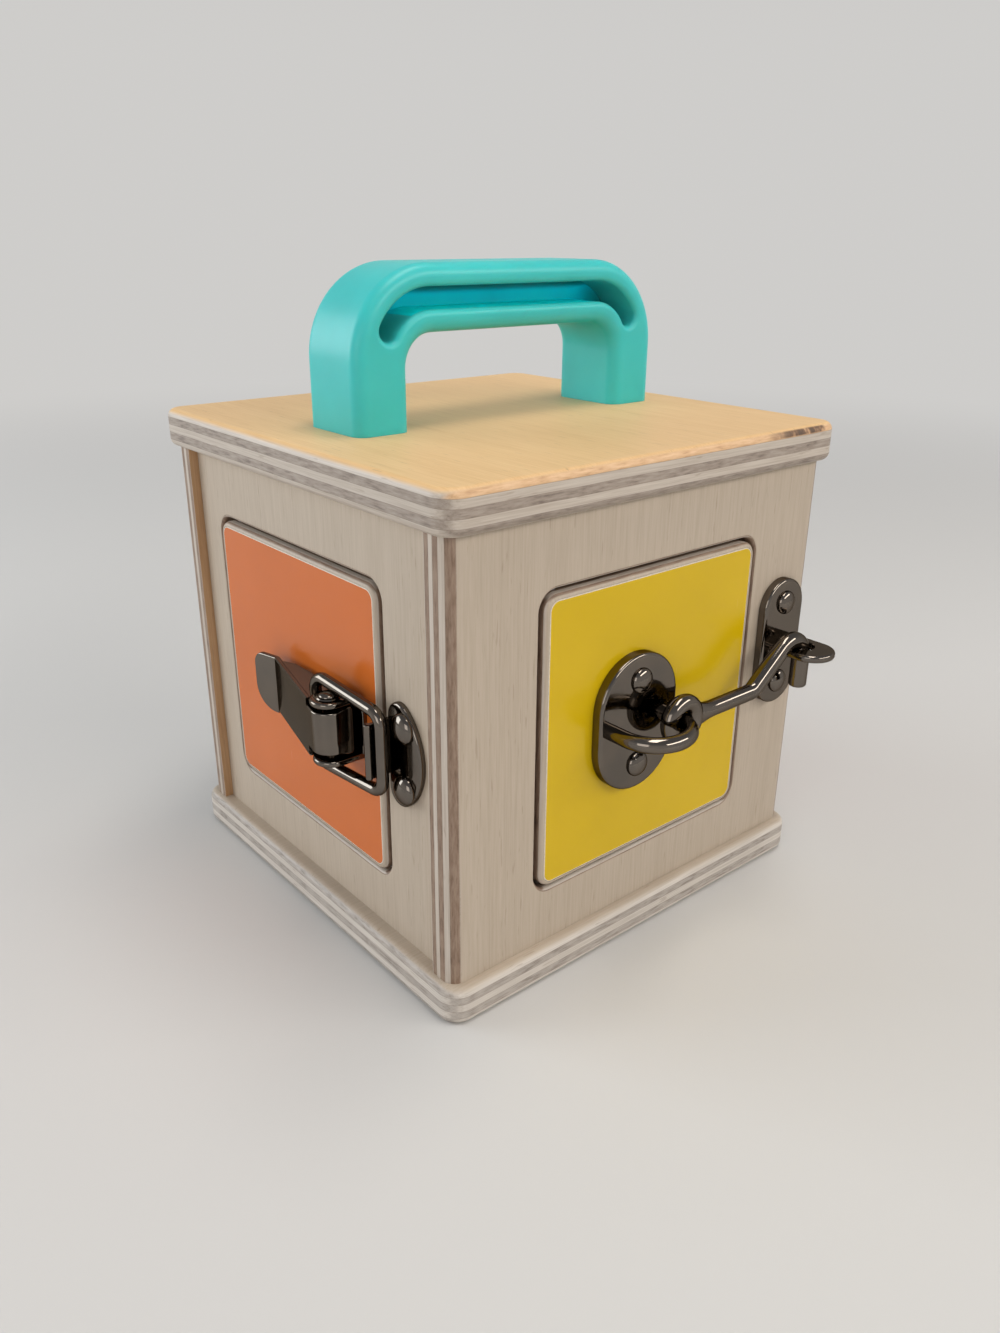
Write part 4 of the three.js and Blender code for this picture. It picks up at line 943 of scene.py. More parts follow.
class PieceTree(NodeKit):
    """Shared part of the Geometry Nodes trees: named inputs, and the plain mesh at the end."""

    def __init__(self, name: str) -> None:
        """Starts a tree with a mesh and a material in and a mesh out."""
        super().__init__(bpy.data.node_groups.new(name, "GeometryNodeTree"))
        self.sockets: dict[str, str] = {}
        self.socket("Geometry", "NodeSocketGeometry")
        self.socket("Material", "NodeSocketMaterial")
        self.tree.interface.new_socket("Geometry", in_out="OUTPUT", socket_type="NodeSocketGeometry")
        self.entry = self.add("NodeGroupInput").outputs

    def socket(self, name: str, kind: str) -> None:
        """Adds a named input."""
        item = self.tree.interface.new_socket(name, in_out="INPUT", socket_type=kind)
        self.sockets[name] = item.identifier

    def named(self, name: str, kind: str = "FLOAT") -> Socket:
        """Reads an attribute of the points."""
        node = self.add("GeometryNodeInputNamedAttribute", {"Name": name}, data_type=kind)
        return node.outputs["Attribute"]

    def close(self, geometry: Socket) -> None:
        """Ends the tree: instances made real, smooth shading and the material."""
        real = self.add("GeometryNodeRealizeInstances", {0: geometry})
        smooth = self.add("GeometryNodeSetShadeSmooth", {0: real.outputs[0]})
        paint = {0: smooth.outputs[0], "Material": self.entry["Material"]}
        self.add("NodeGroupOutput", {0: self.add("GeometryNodeSetMaterial", paint).outputs[0]})

    def run(self, name: str, seed: bpy.types.Mesh, values: dict[str, object]) -> Piece:
        """Runs the tree on a mesh of points and keeps the result as a plain mesh.

        Args:
            name: the piece's name.
            seed: points, or a line of points, with their attributes, in metres.
            values: the tree's inputs by name.

        Returns:
            The finished piece.
        """
        carrier = bpy.data.objects.new(name + "_seed", seed)
        bpy.context.scene.collection.objects.link(carrier)
        modifier = carrier.modifiers.new(self.tree.name, "NODES")
        modifier.node_group = self.tree
        for key, value in values.items():
            modifier[self.sockets[key]] = value
        graph = bpy.context.evaluated_depsgraph_get()
        mesh = bpy.data.meshes.new_from_object(carrier.evaluated_get(graph), depsgraph=graph)
        mesh.name = name
        carrier.modifiers.clear()
        bpy.data.objects.remove(carrier)
        return shown(name, mesh)


class WireTree(PieceTree):
    """Round wire along a line of points; the points' swell thickens or thins it."""

    def __init__(self) -> None:
        """Builds the tree."""
        super().__init__("round_wire")
        self.socket("Radius", "NodeSocketFloat")
        self.socket("Sides", "NodeSocketInt")
        line = self.add("GeometryNodeMeshToCurve", {"Mesh": self.entry["Geometry"]})
        circle = {"Resolution": self.entry["Sides"], "Radius": self.entry["Radius"]}
        section = self.add("GeometryNodeCurvePrimitiveCircle", circle, mode="RADIUS")
        pipe = self.add("GeometryNodeCurveToMesh", {
            "Curve": line.outputs["Curve"],
            "Profile Curve": section.outputs["Curve"],
            "Scale": self.named("swell"),
            "Fill Caps": True,
        })
        self.close(pipe.outputs["Mesh"])

    def draw(self, name: str, path: Sequence[Vector], diameter: float, side: Side, material: Material,
             swells: Sequence[float] = (), closed: bool = False) -> Piece:
        """Makes one wire.

        Args:
            name: the piece's name.
            path: points along the wire's middle, as the front wall stands.
            diameter: the wire's diameter.
            side: wall that it is turned to.
            material: its finish.
            swells: for each point, the share of the diameter; all 1 where left out.
            closed: whether the wire is a ring.

        Returns:
            The finished piece.
        """
        seed = bpy.data.meshes.new(name + "_line")
        last = len(path) if closed else len(path) - 1
        links = [(index, (index + 1) % len(path)) for index in range(last)]
        seed.from_pydata([side.matrix @ point for point in path], links, [])
        shares = seed.attributes.new("swell", "FLOAT", "POINT")
        shares.data.foreach_set("value", list(swells) or [1.0] * len(path))
        values = {"Radius": diameter / 2 * MM, "Sides": WIRE_SIDES, "Material": material}
        return self.run(name, seed, values)


@dataclass(frozen=True)
class Screw:
    """Domed screw: the CAD node that it stands for, its wall, place, seat and head."""

    node: str
    side: Side
    x: float
    height: float
    seat: float
    head: float


class ScrewTree(PieceTree):
    """Domed screws on marked points, each turned to its point's outward direction."""

    def __init__(self) -> None:
        """Builds the tree."""
        super().__init__("domed_screws")
        self.socket("Head Rise", "NodeSocketFloat")
        self.socket("Shank Radius", "NodeSocketFloat")
        self.socket("Shank Length", "NodeSocketFloat")
        outward = {"Vector": self.named("outward", "FLOAT_VECTOR")}
        aim = self.add("FunctionNodeAlignRotationToVector", outward, axis="Z").outputs[0]
        radius = self.named("head")
        rise = self.add("ShaderNodeMath", {0: radius, 1: self.entry["Head Rise"]}, operation="MULTIPLY")
        size = self.add("ShaderNodeCombineXYZ", {0: radius, 1: radius, 2: rise.outputs[0]})
        seats = {"Points": self.entry["Geometry"], "Rotation": aim}
        heads = seats | {"Instance": self.dome(), "Scale": size.outputs[0]}
        shanks = seats | {"Instance": self.shank()}
        both = self.add("GeometryNodeJoinGeometry")
        for placed in (heads, shanks):
            self.feed(both.inputs[0], self.add("GeometryNodeInstanceOnPoints", placed).outputs[0])
        self.close(both.outputs[0])

    def dome(self) -> Socket:
        """Unit dome: a ball whose lower half is pressed flat and whose rim stands upright."""
        ball = self.add("GeometryNodeMeshUVSphere", {"Segments": 40, "Rings": 28, "Radius": 1.0})
        place = self.add("GeometryNodeInputPosition").outputs[0]
        x, y, z = self.add("ShaderNodeSeparateXYZ", {0: place}).outputs
        upper = self.add("ShaderNodeMath", {0: z, 1: 0.0}, operation="MAXIMUM").outputs[0]
        pressed = self.add("ShaderNodeCombineXYZ", {0: x, 1: y, 2: upper}).outputs[0]
        moved = {"Geometry": ball.outputs["Mesh"], "Position": pressed}
        return self.add("GeometryNodeSetPosition", moved).outputs[0]

    def shank(self) -> Socket:
        """Plain shank that runs back from the seat."""
        length = self.entry["Shank Length"]
        sizes = {"Vertices": 16, "Radius": self.entry["Shank Radius"], "Depth": length}
        rod = self.add("GeometryNodeMeshCylinder", sizes)
        half = self.add("ShaderNodeMath", {0: length, 1: -0.5}, operation="MULTIPLY")
        drop = self.add("ShaderNodeCombineXYZ", {2: half.outputs[0]})
        moved = {"Geometry": rod.outputs["Mesh"], "Translation": drop.outputs[0]}
        return self.add("GeometryNodeTransform", moved).outputs[0]

    def draw(self, name: str, screws: Sequence[Screw], material: Material) -> Piece:
        """Makes all the screws that one body carries.

        Args:
            name: the piece's name.
            screws: where they sit.
            material: their finish.

        Returns:
            The finished piece.
        """
        seed = bpy.data.meshes.new(name + "_points")
        places = [screw.side.matrix @ facing(screw.x, screw.height, screw.seat) for screw in screws]
        seed.from_pydata(places, [], [])
        ways = [Matrix.Rotation(screw.side.turn, 3, "Z") @ Vector((0, -1, 0)) for screw in screws]
        outward = seed.attributes.new("outward", "FLOAT_VECTOR", "POINT")
        outward.data.foreach_set("vector", [part for way in ways for part in way])
        head = seed.attributes.new("head", "FLOAT", "POINT")
        head.data.foreach_set("value", [screw.head / 2 * MM for screw in screws])
        values = {
            "Head Rise": SCREW_RISE,
            "Shank Radius": SCREW_SHANK / 2 * MM,
            "Shank Length": SCREW_LENGTH * MM,
            "Material": material,
        }
        return self.run(name, seed, values)


@dataclass
class Workshop:
    """What every sub-assembly needs: the stock of materials, the two trees and the screws so far."""

    stock: Stock
    wires: WireTree
    screws: ScrewTree
    waiting: dict[str, list[Screw]] = field(default_factory=dict)

    def settle(self, piece: Piece, body: str, slot: str, *nodes: str,
               material: Material | None = None) -> Piece:
        """Dresses a finished piece and lets it ride.

        Args:
            piece: the piece.
            body: body that carries it.
            slot: the record's material slot; not used.
            nodes: CAD nodes that it stands for.
            material: its finish, where it has none yet.

        Returns:
            The piece.
        """
        if material is not None and material.name not in piece.data.materials:
            piece.data.materials.append(material)
        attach(piece, body)
        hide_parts(*nodes)
        LOG.info("%s rides on %s: %d faces", piece.name, body, len(piece.data.polygons))
        return piece

    def nickel(self, piece: Piece, body: str, *nodes: str) -> None:
        """Settles a plated piece."""
        self.settle(piece, body, "black_nickel", *nodes, material=self.stock.nickel)

    def wait(self, body: str, *screws: Screw) -> None:
        """Notes screws for the body that carries them."""
        self.waiting.setdefault(body, []).extend(screws)

    def drive_screws(self) -> None:
        """Makes the screws of each body as one piece."""
        for body, screws in self.waiting.items():
            piece = self.screws.draw(f"{body}_screws", screws, self.stock.nickel)
            self.nickel(piece, body, *(screw.node for screw in screws))


# The case


@dataclass(frozen=True)
class Wall:
    """One wall as the front wall stands: where its face and its opening are."""

    side: Side
    face: float
    inside: float
    door_face: float
    half_length: float
    opening_width: float
    latch_edge: float

    @property
    def middle(self) -> float:
        """Middle of the opening along the wall."""
        return self.latch_edge - self.opening_width / 2


@dataclass(frozen=True)
class Case:
    """Boards and panels of the box, and the doors in them."""

    slab_size: float = 155
    slab_thickness: float = 12
    slab_corner: float = 6.5
    slab_round: float = 2.5
    slab_ply: float = 2.4
    body_height: float = 130
    panel_thickness: float = 9
    panel_width: float = 150
    panel_setback: float = 3.4
    panel_round: float = 4.5
    panel_ply: float = 1.65
    panel_face_ply: float = 0.2
    door_ply: float = 1.9
    door_face_ply: float = 1.1
    side_recess: float = 2.9
    joint_gap: float = 0.1
    opening_height: float = 92.4
    opening_corner: float = 6
    opening_round: float = 1.2
    bottom_rail: float = 17.8
    front_opening: float = 89.4
    side_opening: float = 93
    side_latch_stile: float = 24
    door_thickness: float = 9
    door_gap: float = 1.3
    door_proud: float = 0.8
    door_round: float = 1.5
    facing_thickness: float = 0.6
    facing_edge: float = 0.1
    facing_core: float = 0.25
    facing_soft: float = 0.12
    facing_ease: float = 0.3
    side_round: float = 0.4
    least_corner: float = 0.8

    @property
    def panel_top(self) -> float:
        """Level of the panels' upper ends."""
        return self.slab_thickness + self.body_height

    @property
    def top(self) -> float:
        """Level of the top board's face."""
        return self.panel_top + self.slab_thickness

    @property
    def latch_height(self) -> float:
        """Level of the doors' middles."""
        return self.slab_thickness + self.bottom_rail + self.opening_height / 2

    def wall(self, side: Side) -> Wall:
        """Works out one wall.

        Args:
            side: where the wall stands.

        Returns:
            The wall's places.
        """
        front = self.slab_size / 2 - self.panel_setback
        side_half = front - self.panel_thickness - self.joint_gap
        face = front if side.ahead else self.panel_width / 2 - self.side_recess
        width = self.front_opening if side.ahead else self.side_opening
        return Wall(
            side=side,
            face=face,
            inside=face - self.panel_thickness,
            door_face=face + self.door_proud,
            half_length=self.panel_width / 2 if side.ahead else side_half,
            opening_width=width,
            latch_edge=width / 2 if side.ahead else side_half - self.side_latch_stile,
        )

    def opening(self, wall: Wall, margin: float) -> Outline:
        """Outline inside a wall's opening by a margin."""
        return rounded_rectangle(
            wall.opening_width - 2 * margin,
            self.opening_height - 2 * margin,
            max(self.opening_corner - margin, self.least_corner),
            (wall.middle, self.latch_height),
        )

    def board(self, name: str, bottom: float) -> Piece:
        """Base board or top board.

        Args:
            name: the piece's name.
            bottom: level of its underside.

        Returns:
            The piece.
        """
        outline = rounded_rectangle(self.slab_size, self.slab_size, self.slab_corner)
        skin = Skin()
        top = bottom + self.slab_thickness
        skin.plate(outline, eased(bottom, top, self.slab_round, self.slab_round, EASE_STEPS), lying)
        return skin.finish(name)

    def panel(self, wall: Wall) -> Piece:
        """Upright panel with its opening; the front and back panels have rounded ends.

        Args:
            wall: the wall.

        Returns:
            The piece.
        """
        bottom, top = self.slab_thickness, self.panel_top
        radius = self.panel_round if wall.side.ahead else self.side_round
        half = wall.half_length
        round_end = arc((half - radius, wall.face - radius), radius, QUARTER, 0)
        right = [(half - radius - SUPPORT, wall.face), *round_end, (half, wall.inside)]
        left = [(-x, distance) for x, distance in reversed(right)]
        skin = Skin()
        ends = []
        for plan in (right, left):
            low = skin.ring([Vector((x, -distance, bottom)) for x, distance in plan])
            high = skin.ring([Vector((x, -distance, top)) for x, distance in plan])
            skin.bridge([low, high], closed=False)
            ends.append((low, high))
        (right_low, right_high), (left_low, left_high) = ends
        profile = mirrored(eased(wall.inside, wall.face, 0, self.opening_round))
        back, front = skin.wall(self.opening(wall, 0), profile, facing)
        skin.cap([left_low[-1], right_low[0], right_high[0], left_high[-1]], front)
        skin.cap([left_low[0], right_low[-1], right_high[-1], left_high[0]], back)
        skin.bm.faces.new(right_low + left_low)
        skin.bm.faces.new(right_high + left_high)
        return skin.finish(f"{wall.side.value}_panel_board", wall.side)

    def door(self, wall: Wall) -> Piece:
        """Door board with a rounded edge and a shallow bed for its facing.

        Args:
            wall: the wall.

        Returns:
            The piece.
        """
        outline = self.opening(wall, self.door_gap)
        back = wall.door_face - self.door_thickness
        profile = eased(back, wall.door_face, self.door_round, self.door_round, EASE_STEPS)[:-1]
        profile.append((self.door_round, wall.door_face - self.facing_thickness - SEAT))
        skin = Skin()
        skin.plate(outline, profile, facing)
        return skin.finish(f"{wall.side.value}_door_board", wall.side)

    def facing_sheet(self, wall: Wall) -> Piece:
        """Coloured sheet of a door; its cut edge and a hairline round its face show the core.

        Args:
            wall: the wall.

        Returns:
            The piece, with its face in the first material slot and its edge in the second.
        """
        outline = self.opening(wall, self.door_gap + self.door_round + self.facing_edge)
        front = wall.door_face
        back = front - self.facing_thickness
        soft = self.facing_soft
        ease = soft * self.facing_ease
        profile = [(0, back), (0, front - soft), (ease, front - ease), (soft, front)]
        skin = Skin()
        first, last = skin.wall(outline, profile, facing)
        inner = skin.ring([facing(x, z, front) for x, z in inset(outline, self.facing_core)])
        skin.bridge([last, inner])
        skin.cap(inner)
        skin.cap(first)
        limit = front - WELD
        for face in skin.bm.faces:
            on_rim = any(vertex in last for vertex in face.verts)
            below = any(-vertex.co.y < limit for vertex in face.verts)
            face.material_index = 1 if on_rim or below else 0
        return skin.finish(f"{wall.side.value}_facing_sheet", wall.side)

    def build(self, shop: Workshop) -> None:
        """Makes and dresses the boards, panels and doors.

        Args:
            shop: materials and trees.
        """
        stock = shop.stock
        shop.settle(self.board("base_ply", 0), "box", "birch_ply", "base_board", material=stock.base_board)
        top = self.board("top_ply", self.panel_top)
        shop.settle(top, "box", "varnished_ply", "top_board", material=stock.top_board)
        colours = {Side.FRONT: "yellow", Side.LEFT: "orange", Side.BACK: "blue", Side.RIGHT: "red"}
        for side in Side:
            wall = self.wall(side)
            name = side.value
            panel, door = stock.panels[side.ahead], stock.doors[side.ahead]
            shop.settle(self.panel(wall), "box", "birch_ply", f"{name}_panel", material=panel)
            shop.settle(self.door(wall), f"{name}_door", "birch_ply", f"{name}_door", material=door)
            sheet = self.facing_sheet(wall)
            slot = f"{colours[side]}_facing"
            shop.settle(sheet, f"{name}_door", slot, f"{name}_facing", material=stock.facings[side])
            sheet.data.materials.append(stock.core)


@dataclass(frozen=True)
class Handle:
    """Moulded arch with a deep groove in its front."""

    length: float = 119.2
    height: float = 46
    depth: float = 27.8
    aside: float = 1.9
    behind: float = 2.5
    bar: float = 19
    leg: float = 18.3
    outer_radius: float = 26.5
    inner_radius: float = 9.5
    edge_round: float = 4
    groove_width: float = 6.3
    groove_depth: float = 15
    groove_end: float = math.radians(31)
    lip_round: float = 1.8
    floor_round: float = 0.3
    foot_run: float = 12
    shade_drop: float = 0.9
    glow_from: float = 0.7 * QUARTER
    groove_steps: int = 20
    rim_steps: int = 10

    @property
    def shade_level(self) -> float:
        """Level, above the board, where the groove's floor is full in the upper lip's shade."""
        return self.height - self.bar / 2 + self.groove_width / 2 - self.shade_drop

    def outline(self, foot: float) -> Outline:
        """Arch with its feet run on below the board.

        Args:
            foot: how far below.

        Returns:
            The outline, counter-clockwise, from the middle of the board's face.
        """
        half = self.length / 2
        inner = half - self.leg
        shoulder = self.height - self.outer_radius
        under = self.height - self.bar - self.inner_radius
        turn = self.inner_radius
        points = [(inner, -foot), (half, -foot)]
        points += arc((half - self.outer_radius, shoulder), self.outer_radius, 0, QUARTER, HALF_STEPS)
        points += [(-x, level) for x, level in reversed(points[2:])]
        points += [(-half, -foot), (-inner, -foot)]
        points += arc((turn - inner, under), turn, HALF_TURN, QUARTER, BEND_STEPS)
        points += arc((inner - turn, under), turn, QUARTER, 0, BEND_STEPS)
        return distinct(points)

    def groove(self) -> Outline:
        """Outline of the groove, which follows the arch and ends round in each shoulder."""
        centre = self.length / 2 - self.outer_radius
        shoulder = self.height - self.outer_radius
        middle = self.outer_radius - self.bar / 2
        half = self.groove_width / 2
        end = self.groove_end
        end_x = centre + middle * math.cos(end)
        end_z = shoulder + middle * math.sin(end)
        steps = self.groove_steps
        points = arc((centre, shoulder), middle + half, end, QUARTER, steps)
        points += arc((-centre, shoulder), middle + half, QUARTER, HALF_TURN - end, steps)
        points += arc((-end_x, end_z), half, HALF_TURN - end, FULL_TURN - end, BEND_STEPS)
        points += arc((-centre, shoulder), middle - half, HALF_TURN - end, QUARTER, steps)
        points += arc((centre, shoulder), middle - half, QUARTER, end, steps)
        points += arc((end_x, end_z), half, HALF_TURN + end, FULL_TURN + end, BEND_STEPS)
        return distinct(points)

    def glows(self, face: bmesh.types.BMFace, front: float, lift: float) -> bool:
        """Tells whether a face of the groove lets light through and so gets the lit copy of the plastic,
        whose brighter colour is painted light.

        Args:
            face: a face of the groove's walls or floor.
            front: distance of the handle's front.
            lift: level of the board below it.

        Returns:
            True on the floor and on the lower wall behind the lip.
        """
        deep = front - self.lip_round - self.behind + SEAT
        if any(-vertex.co.y > deep for vertex in face.verts):
            return False
        floor = front - self.groove_depth - self.behind + self.floor_round
        if all(-vertex.co.y < floor for vertex in face.verts):
            return True
        middle = face.calc_center_median()
        beyond = max(abs(middle.x - self.aside) - self.length / 2 + self.outer_radius, 0)
        rise = middle.z - lift - self.height + self.outer_radius
        reach = math.hypot(beyond, rise)
        return reach < self.outer_radius - self.bar / 2 and math.atan2(rise, beyond) > self.glow_from

    def build(self, shop: Workshop, case: Case) -> None:
        """Makes and dresses the handle.

        Args:
            shop: materials and trees.
            case: the case that it stands on.
        """
        front = self.depth / 2
        lift = case.top

        def draw(x: float, height: float, distance: float) -> Vector:
            """Point of the arch, lifted onto the top board."""
            return facing(x + self.aside, height + lift, distance - self.behind)

        skin = Skin()
        foot = self.foot_run
        profile = eased(-front, front, self.edge_round, self.edge_round, self.rim_steps)
        back_ring, front_ring = skin.wall(self.outline(foot), profile, draw)
        floor = front - self.groove_depth
        pocket = mirrored(eased(front, floor, self.lip_round, 0, EASE_STEPS)[:-2])
        for step in range(RIM_STEPS + 1):
            turn = QUARTER * step / RIM_STEPS
            rise = self.floor_round * (1 - math.sin(turn))
            pocket.append((self.floor_round * (1 - math.cos(turn)), floor + rise))
        outside = set(skin.bm.faces)
        lip_ring, floor_ring = skin.wall(self.groove(), pocket, draw)
        skin.cap(floor_ring)
        inside = [face for face in skin.bm.faces if face not in outside]
        skin.cap(front_ring, lip_ring)
        skin.cap(back_ring)
        # Faces that let light through get the lit copy of the plastic, with its painted light.
        for face in inside:
            face.material_index = int(self.glows(face, front, lift))
        geometry = skin.bm.verts[:] + skin.bm.edges[:] + skin.bm.faces[:]
        cut = bmesh.ops.bisect_plane(
            skin.bm, geom=geometry, dist=SAME, plane_co=(0, 0, lift), plane_no=(0, 0, -1), clear_outer=True)
        rims = [item for item in cut["geom_cut"] if isinstance(item, bmesh.types.BMEdge)]
        bmesh.ops.holes_fill(skin.bm, edges=rims, sides=0)
        arch = shop.settle(
            skin.finish("handle_arch"), "box", "turquoise_plastic", "handle", material=shop.stock.plastic)
        arch.data.materials.append(shop.stock.lit_thin_plastic)


# The latches


@dataclass(frozen=True)
class Latch:
    """Latch on one wall: the case, the wall and the shop; each kind adds its own sizes."""

    case: Case
    wall: Wall
    shop: Workshop

    @property
    def height(self) -> float:
        """Level of the latch's middle."""
        return self.case.latch_height

    def plated(self, skin: Skin, name: str, body: str, node: str) -> None:
        """Finishes a drawn piece in nickel.

        Args:
            skin: its surface.
            name: its name.
            body: body that carries it.
            node: CAD node that it stands for.
        """
        self.shop.nickel(skin.finish(name, self.wall.side), body, node)

    def screw_pair(self, body: str, name: str, place: Point, pitch: float, face: float,
                   head: float) -> None:
        """Notes an upper and a lower screw.

        Args:
            body: body that carries them.
            name: start of their nodes' names.
            place: middle between them.
            pitch: distance between them.
            face: distance of the plate's face.
            head: diameter of their heads.
        """
        x, height = place
        for end, way in (("upper", 1), ("lower", -1)):
            level = height + way * pitch / 2
            self.shop.wait(body, Screw(f"{name}_{end}", self.wall.side, x, level, face + SEAT, head))


@dataclass(frozen=True)
class CabinHook(Latch):
    """Hook on the front door: plate, staple and eye, and the catch with its pierced tongue."""

    plate_width: float = 31.8
    plate_height: float = 43
    plate_thickness: float = 3.4
    plate_from_edge: float = 53.3
    plate_screws: float = 26.8
    screw_head: float = 7.8
    rim: float = 1
    staple_wire: float = 4.8
    staple_radius: float = 11
    staple_leg: float = 5
    wire: float = 5.1
    thicker: float = 0.13
    eye_wire: float = 5.4
    eye_radius: float = 5.4
    neck: float = 9
    neck_flare: float = 2.4
    standoff: float = 10.9
    rise_angle: float = math.radians(39)
    tip_length: float = 17
    bend: float = 6
    rest_gap: float = 0.1
    crest_lap: float = 1
    catch_width: float = 19.6
    catch_height: float = 43
    catch_thickness: float = 3
    catch_from_edge: float = 14.8
    catch_above: float = 8.2
    catch_screws: float = 27.4
    tongue_width: float = 15
    tongue_thickness: float = 2.4
    tongue_reach: float = 22
    tongue_hole: float = 8
    hole_round: float = 0.5
    tongue_round: float = 0.9
    neck_lap: float = 0.6
    thickens: float = 1.8
    tip_round: float = 0.4
    tip_taper: float = 0.3
    eye_steps: int = 56
    hole_steps: int = 36

    @property
    def plate_x(self) -> float:
        """Place of the plate along the wall."""
        return self.wall.latch_edge - self.plate_from_edge

    @property
    def catch_x(self) -> float:
        """Place of the catch along the wall."""
        return self.wall.latch_edge + self.catch_from_edge

    @property
    def plane(self) -> float:
        """Distance of the hook's own plane from the box's middle."""
        return self.wall.face + self.standoff

    def base(self) -> None:
        """Plate and staple on the door."""
        x, height, wall = self.plate_x, self.height, self.wall
        face = wall.door_face + self.plate_thickness
        skin = Skin()
        outline = stadium(self.plate_width, self.plate_height, (x, height))
        skin.plate(outline, eased(wall.door_face + SEAT, face, 0, self.rim), facing)
        self.plated(skin, "hook_plate_cast", "front_door", "hook_plate")
        crown = face + self.staple_leg
        foot = wall.door_face + 2 * SEAT
        bow = arc((0, 0), self.staple_radius, HALF_TURN, 0, BOW_STEPS)
        line = [(-self.staple_radius, foot), *((u, crown + v) for u, v in bow), (self.staple_radius, foot)]
        path = [Vector((x + u, -distance, height)) for u, distance in line]
        nickel = self.shop.stock.nickel
        staple = self.shop.wires.draw("staple_bow", path, self.staple_wire, wall.side, nickel)
        self.shop.nickel(staple, "front_door", "hook_staple")
        place = (x, height)
        self.screw_pair("front_door", "hook_plate_screw", place, self.plate_screws, face, self.screw_head)

    def hook(self) -> None:
        """Hook: eye, rod, slope over the tongue and a tip that drops through its hole."""
        height, catch_x, plane = self.height, self.catch_x, self.plane
        eye_x = self.plate_x + self.staple_radius
        thick = self.wire * (1 + self.thicker) / 2
        crest = height + self.catch_above + self.tongue_thickness / 2 + self.rest_gap + thick
        crest_x = catch_x - self.tongue_width / 2 - self.wire / 2 + self.crest_lap
        bend_x = crest_x - (crest - height) / math.tan(self.rise_angle)
        tip = crest - self.tip_length
        radius = self.wire / 2
        root = eye_x + self.eye_radius - self.neck_lap

        def at(x: float, level: float) -> Vector:
            """Point in the hook's own plane."""
            return Vector((x, -plane, level))

        flare = Skin()
        circle = arc((0, 0), 1, 0, FULL_TURN, WIRE_SIDES)[:-1]
        rings = []
        for step in range(BEND_STEPS + 1):
            share = step / BEND_STEPS
            half = radius + self.neck_flare * (1 - share) ** 2
            middle = at(root + self.neck * share, height)
            rings.append(flare.ring([middle + Vector((0, radius * u, half * v)) for u, v in circle]))
        flare.bridge(rings)
        flare.cap(rings[0])
        flare.cap(rings[-1])
        self.plated(flare, "hook_neck", "cabin_hook", "cabin_hook")
        start = at(root + self.neck, height)
        bends = [start, at(bend_x, height), at(crest_x, crest), at(catch_x, crest), at(catch_x, tip)]
        path = bent(bends, self.bend)[:-1]
        swells = [1 + self.thicker * min(self.thickens * step / len(path), 1) for step in range(len(path))]
        for step in range(EASE_STEPS + 1):
            turn = QUARTER * step / EASE_STEPS
            path.append(at(catch_x, tip + radius * self.tip_round * (1 - math.sin(turn))))
            swells.append((1 + self.thicker) * (1 - self.tip_taper * (1 - math.cos(turn))))
        side, nickel = self.wall.side, self.shop.stock.nickel
        rod = self.shop.wires.draw("hook_rod", path, self.wire, side, nickel, swells)
        self.shop.nickel(rod, "cabin_hook", "cabin_hook")
        circle = arc((0, 0), self.eye_radius, 0, FULL_TURN, self.eye_steps)[:-1]
        ring = [at(eye_x + u, height + v) for u, v in circle]
        eye = self.shop.wires.draw("hook_eye", ring, self.eye_wire, side, nickel, closed=True)
        self.shop.nickel(eye, "cabin_hook", "cabin_hook")

    def catch(self) -> None:
        """Catch plate and its tongue on the frame."""
        x, wall = self.catch_x, self.wall
        height = self.height + self.catch_above
        face = wall.face + self.catch_thickness
        skin = Skin()
        outline = stadium(self.catch_width, self.catch_height, (x, height))
        skin.plate(outline, eased(wall.face + SEAT, face, 0, self.rim), facing)
        half = self.tongue_width / 2
        tip = wall.face + self.tongue_reach - half
        root = face - self.catch_thickness / 2
        end = arc((x, -tip), half, HALF_TURN, FULL_TURN, ROUND_STEPS)
        plan = [(x - half, -root), *end, (x + half, -root)]
        low = height - self.tongue_thickness / 2
        high = height + self.tongue_thickness / 2
        rims = skin.wall(distinct(plan), eased(low, high, self.tongue_round, self.tongue_round), lying)
        hole = arc((x, -self.plane), self.tongue_hole / 2, 0, FULL_TURN, self.hole_steps)[:-1]
        profile = mirrored(eased(low, high, self.hole_round, self.hole_round))
        for rim, inner in zip(rims, skin.wall(hole, profile, lying)):
            skin.cap(rim, inner)
        self.plated(skin, "catch_with_tongue", "box", "catch_plate")
        self.screw_pair("box", "catch_plate_screw", (x, height), self.catch_screws, face, self.screw_head)

    def build(self) -> None:
        """Makes and dresses the whole latch."""
        self.base()
        self.hook()
        self.catch()


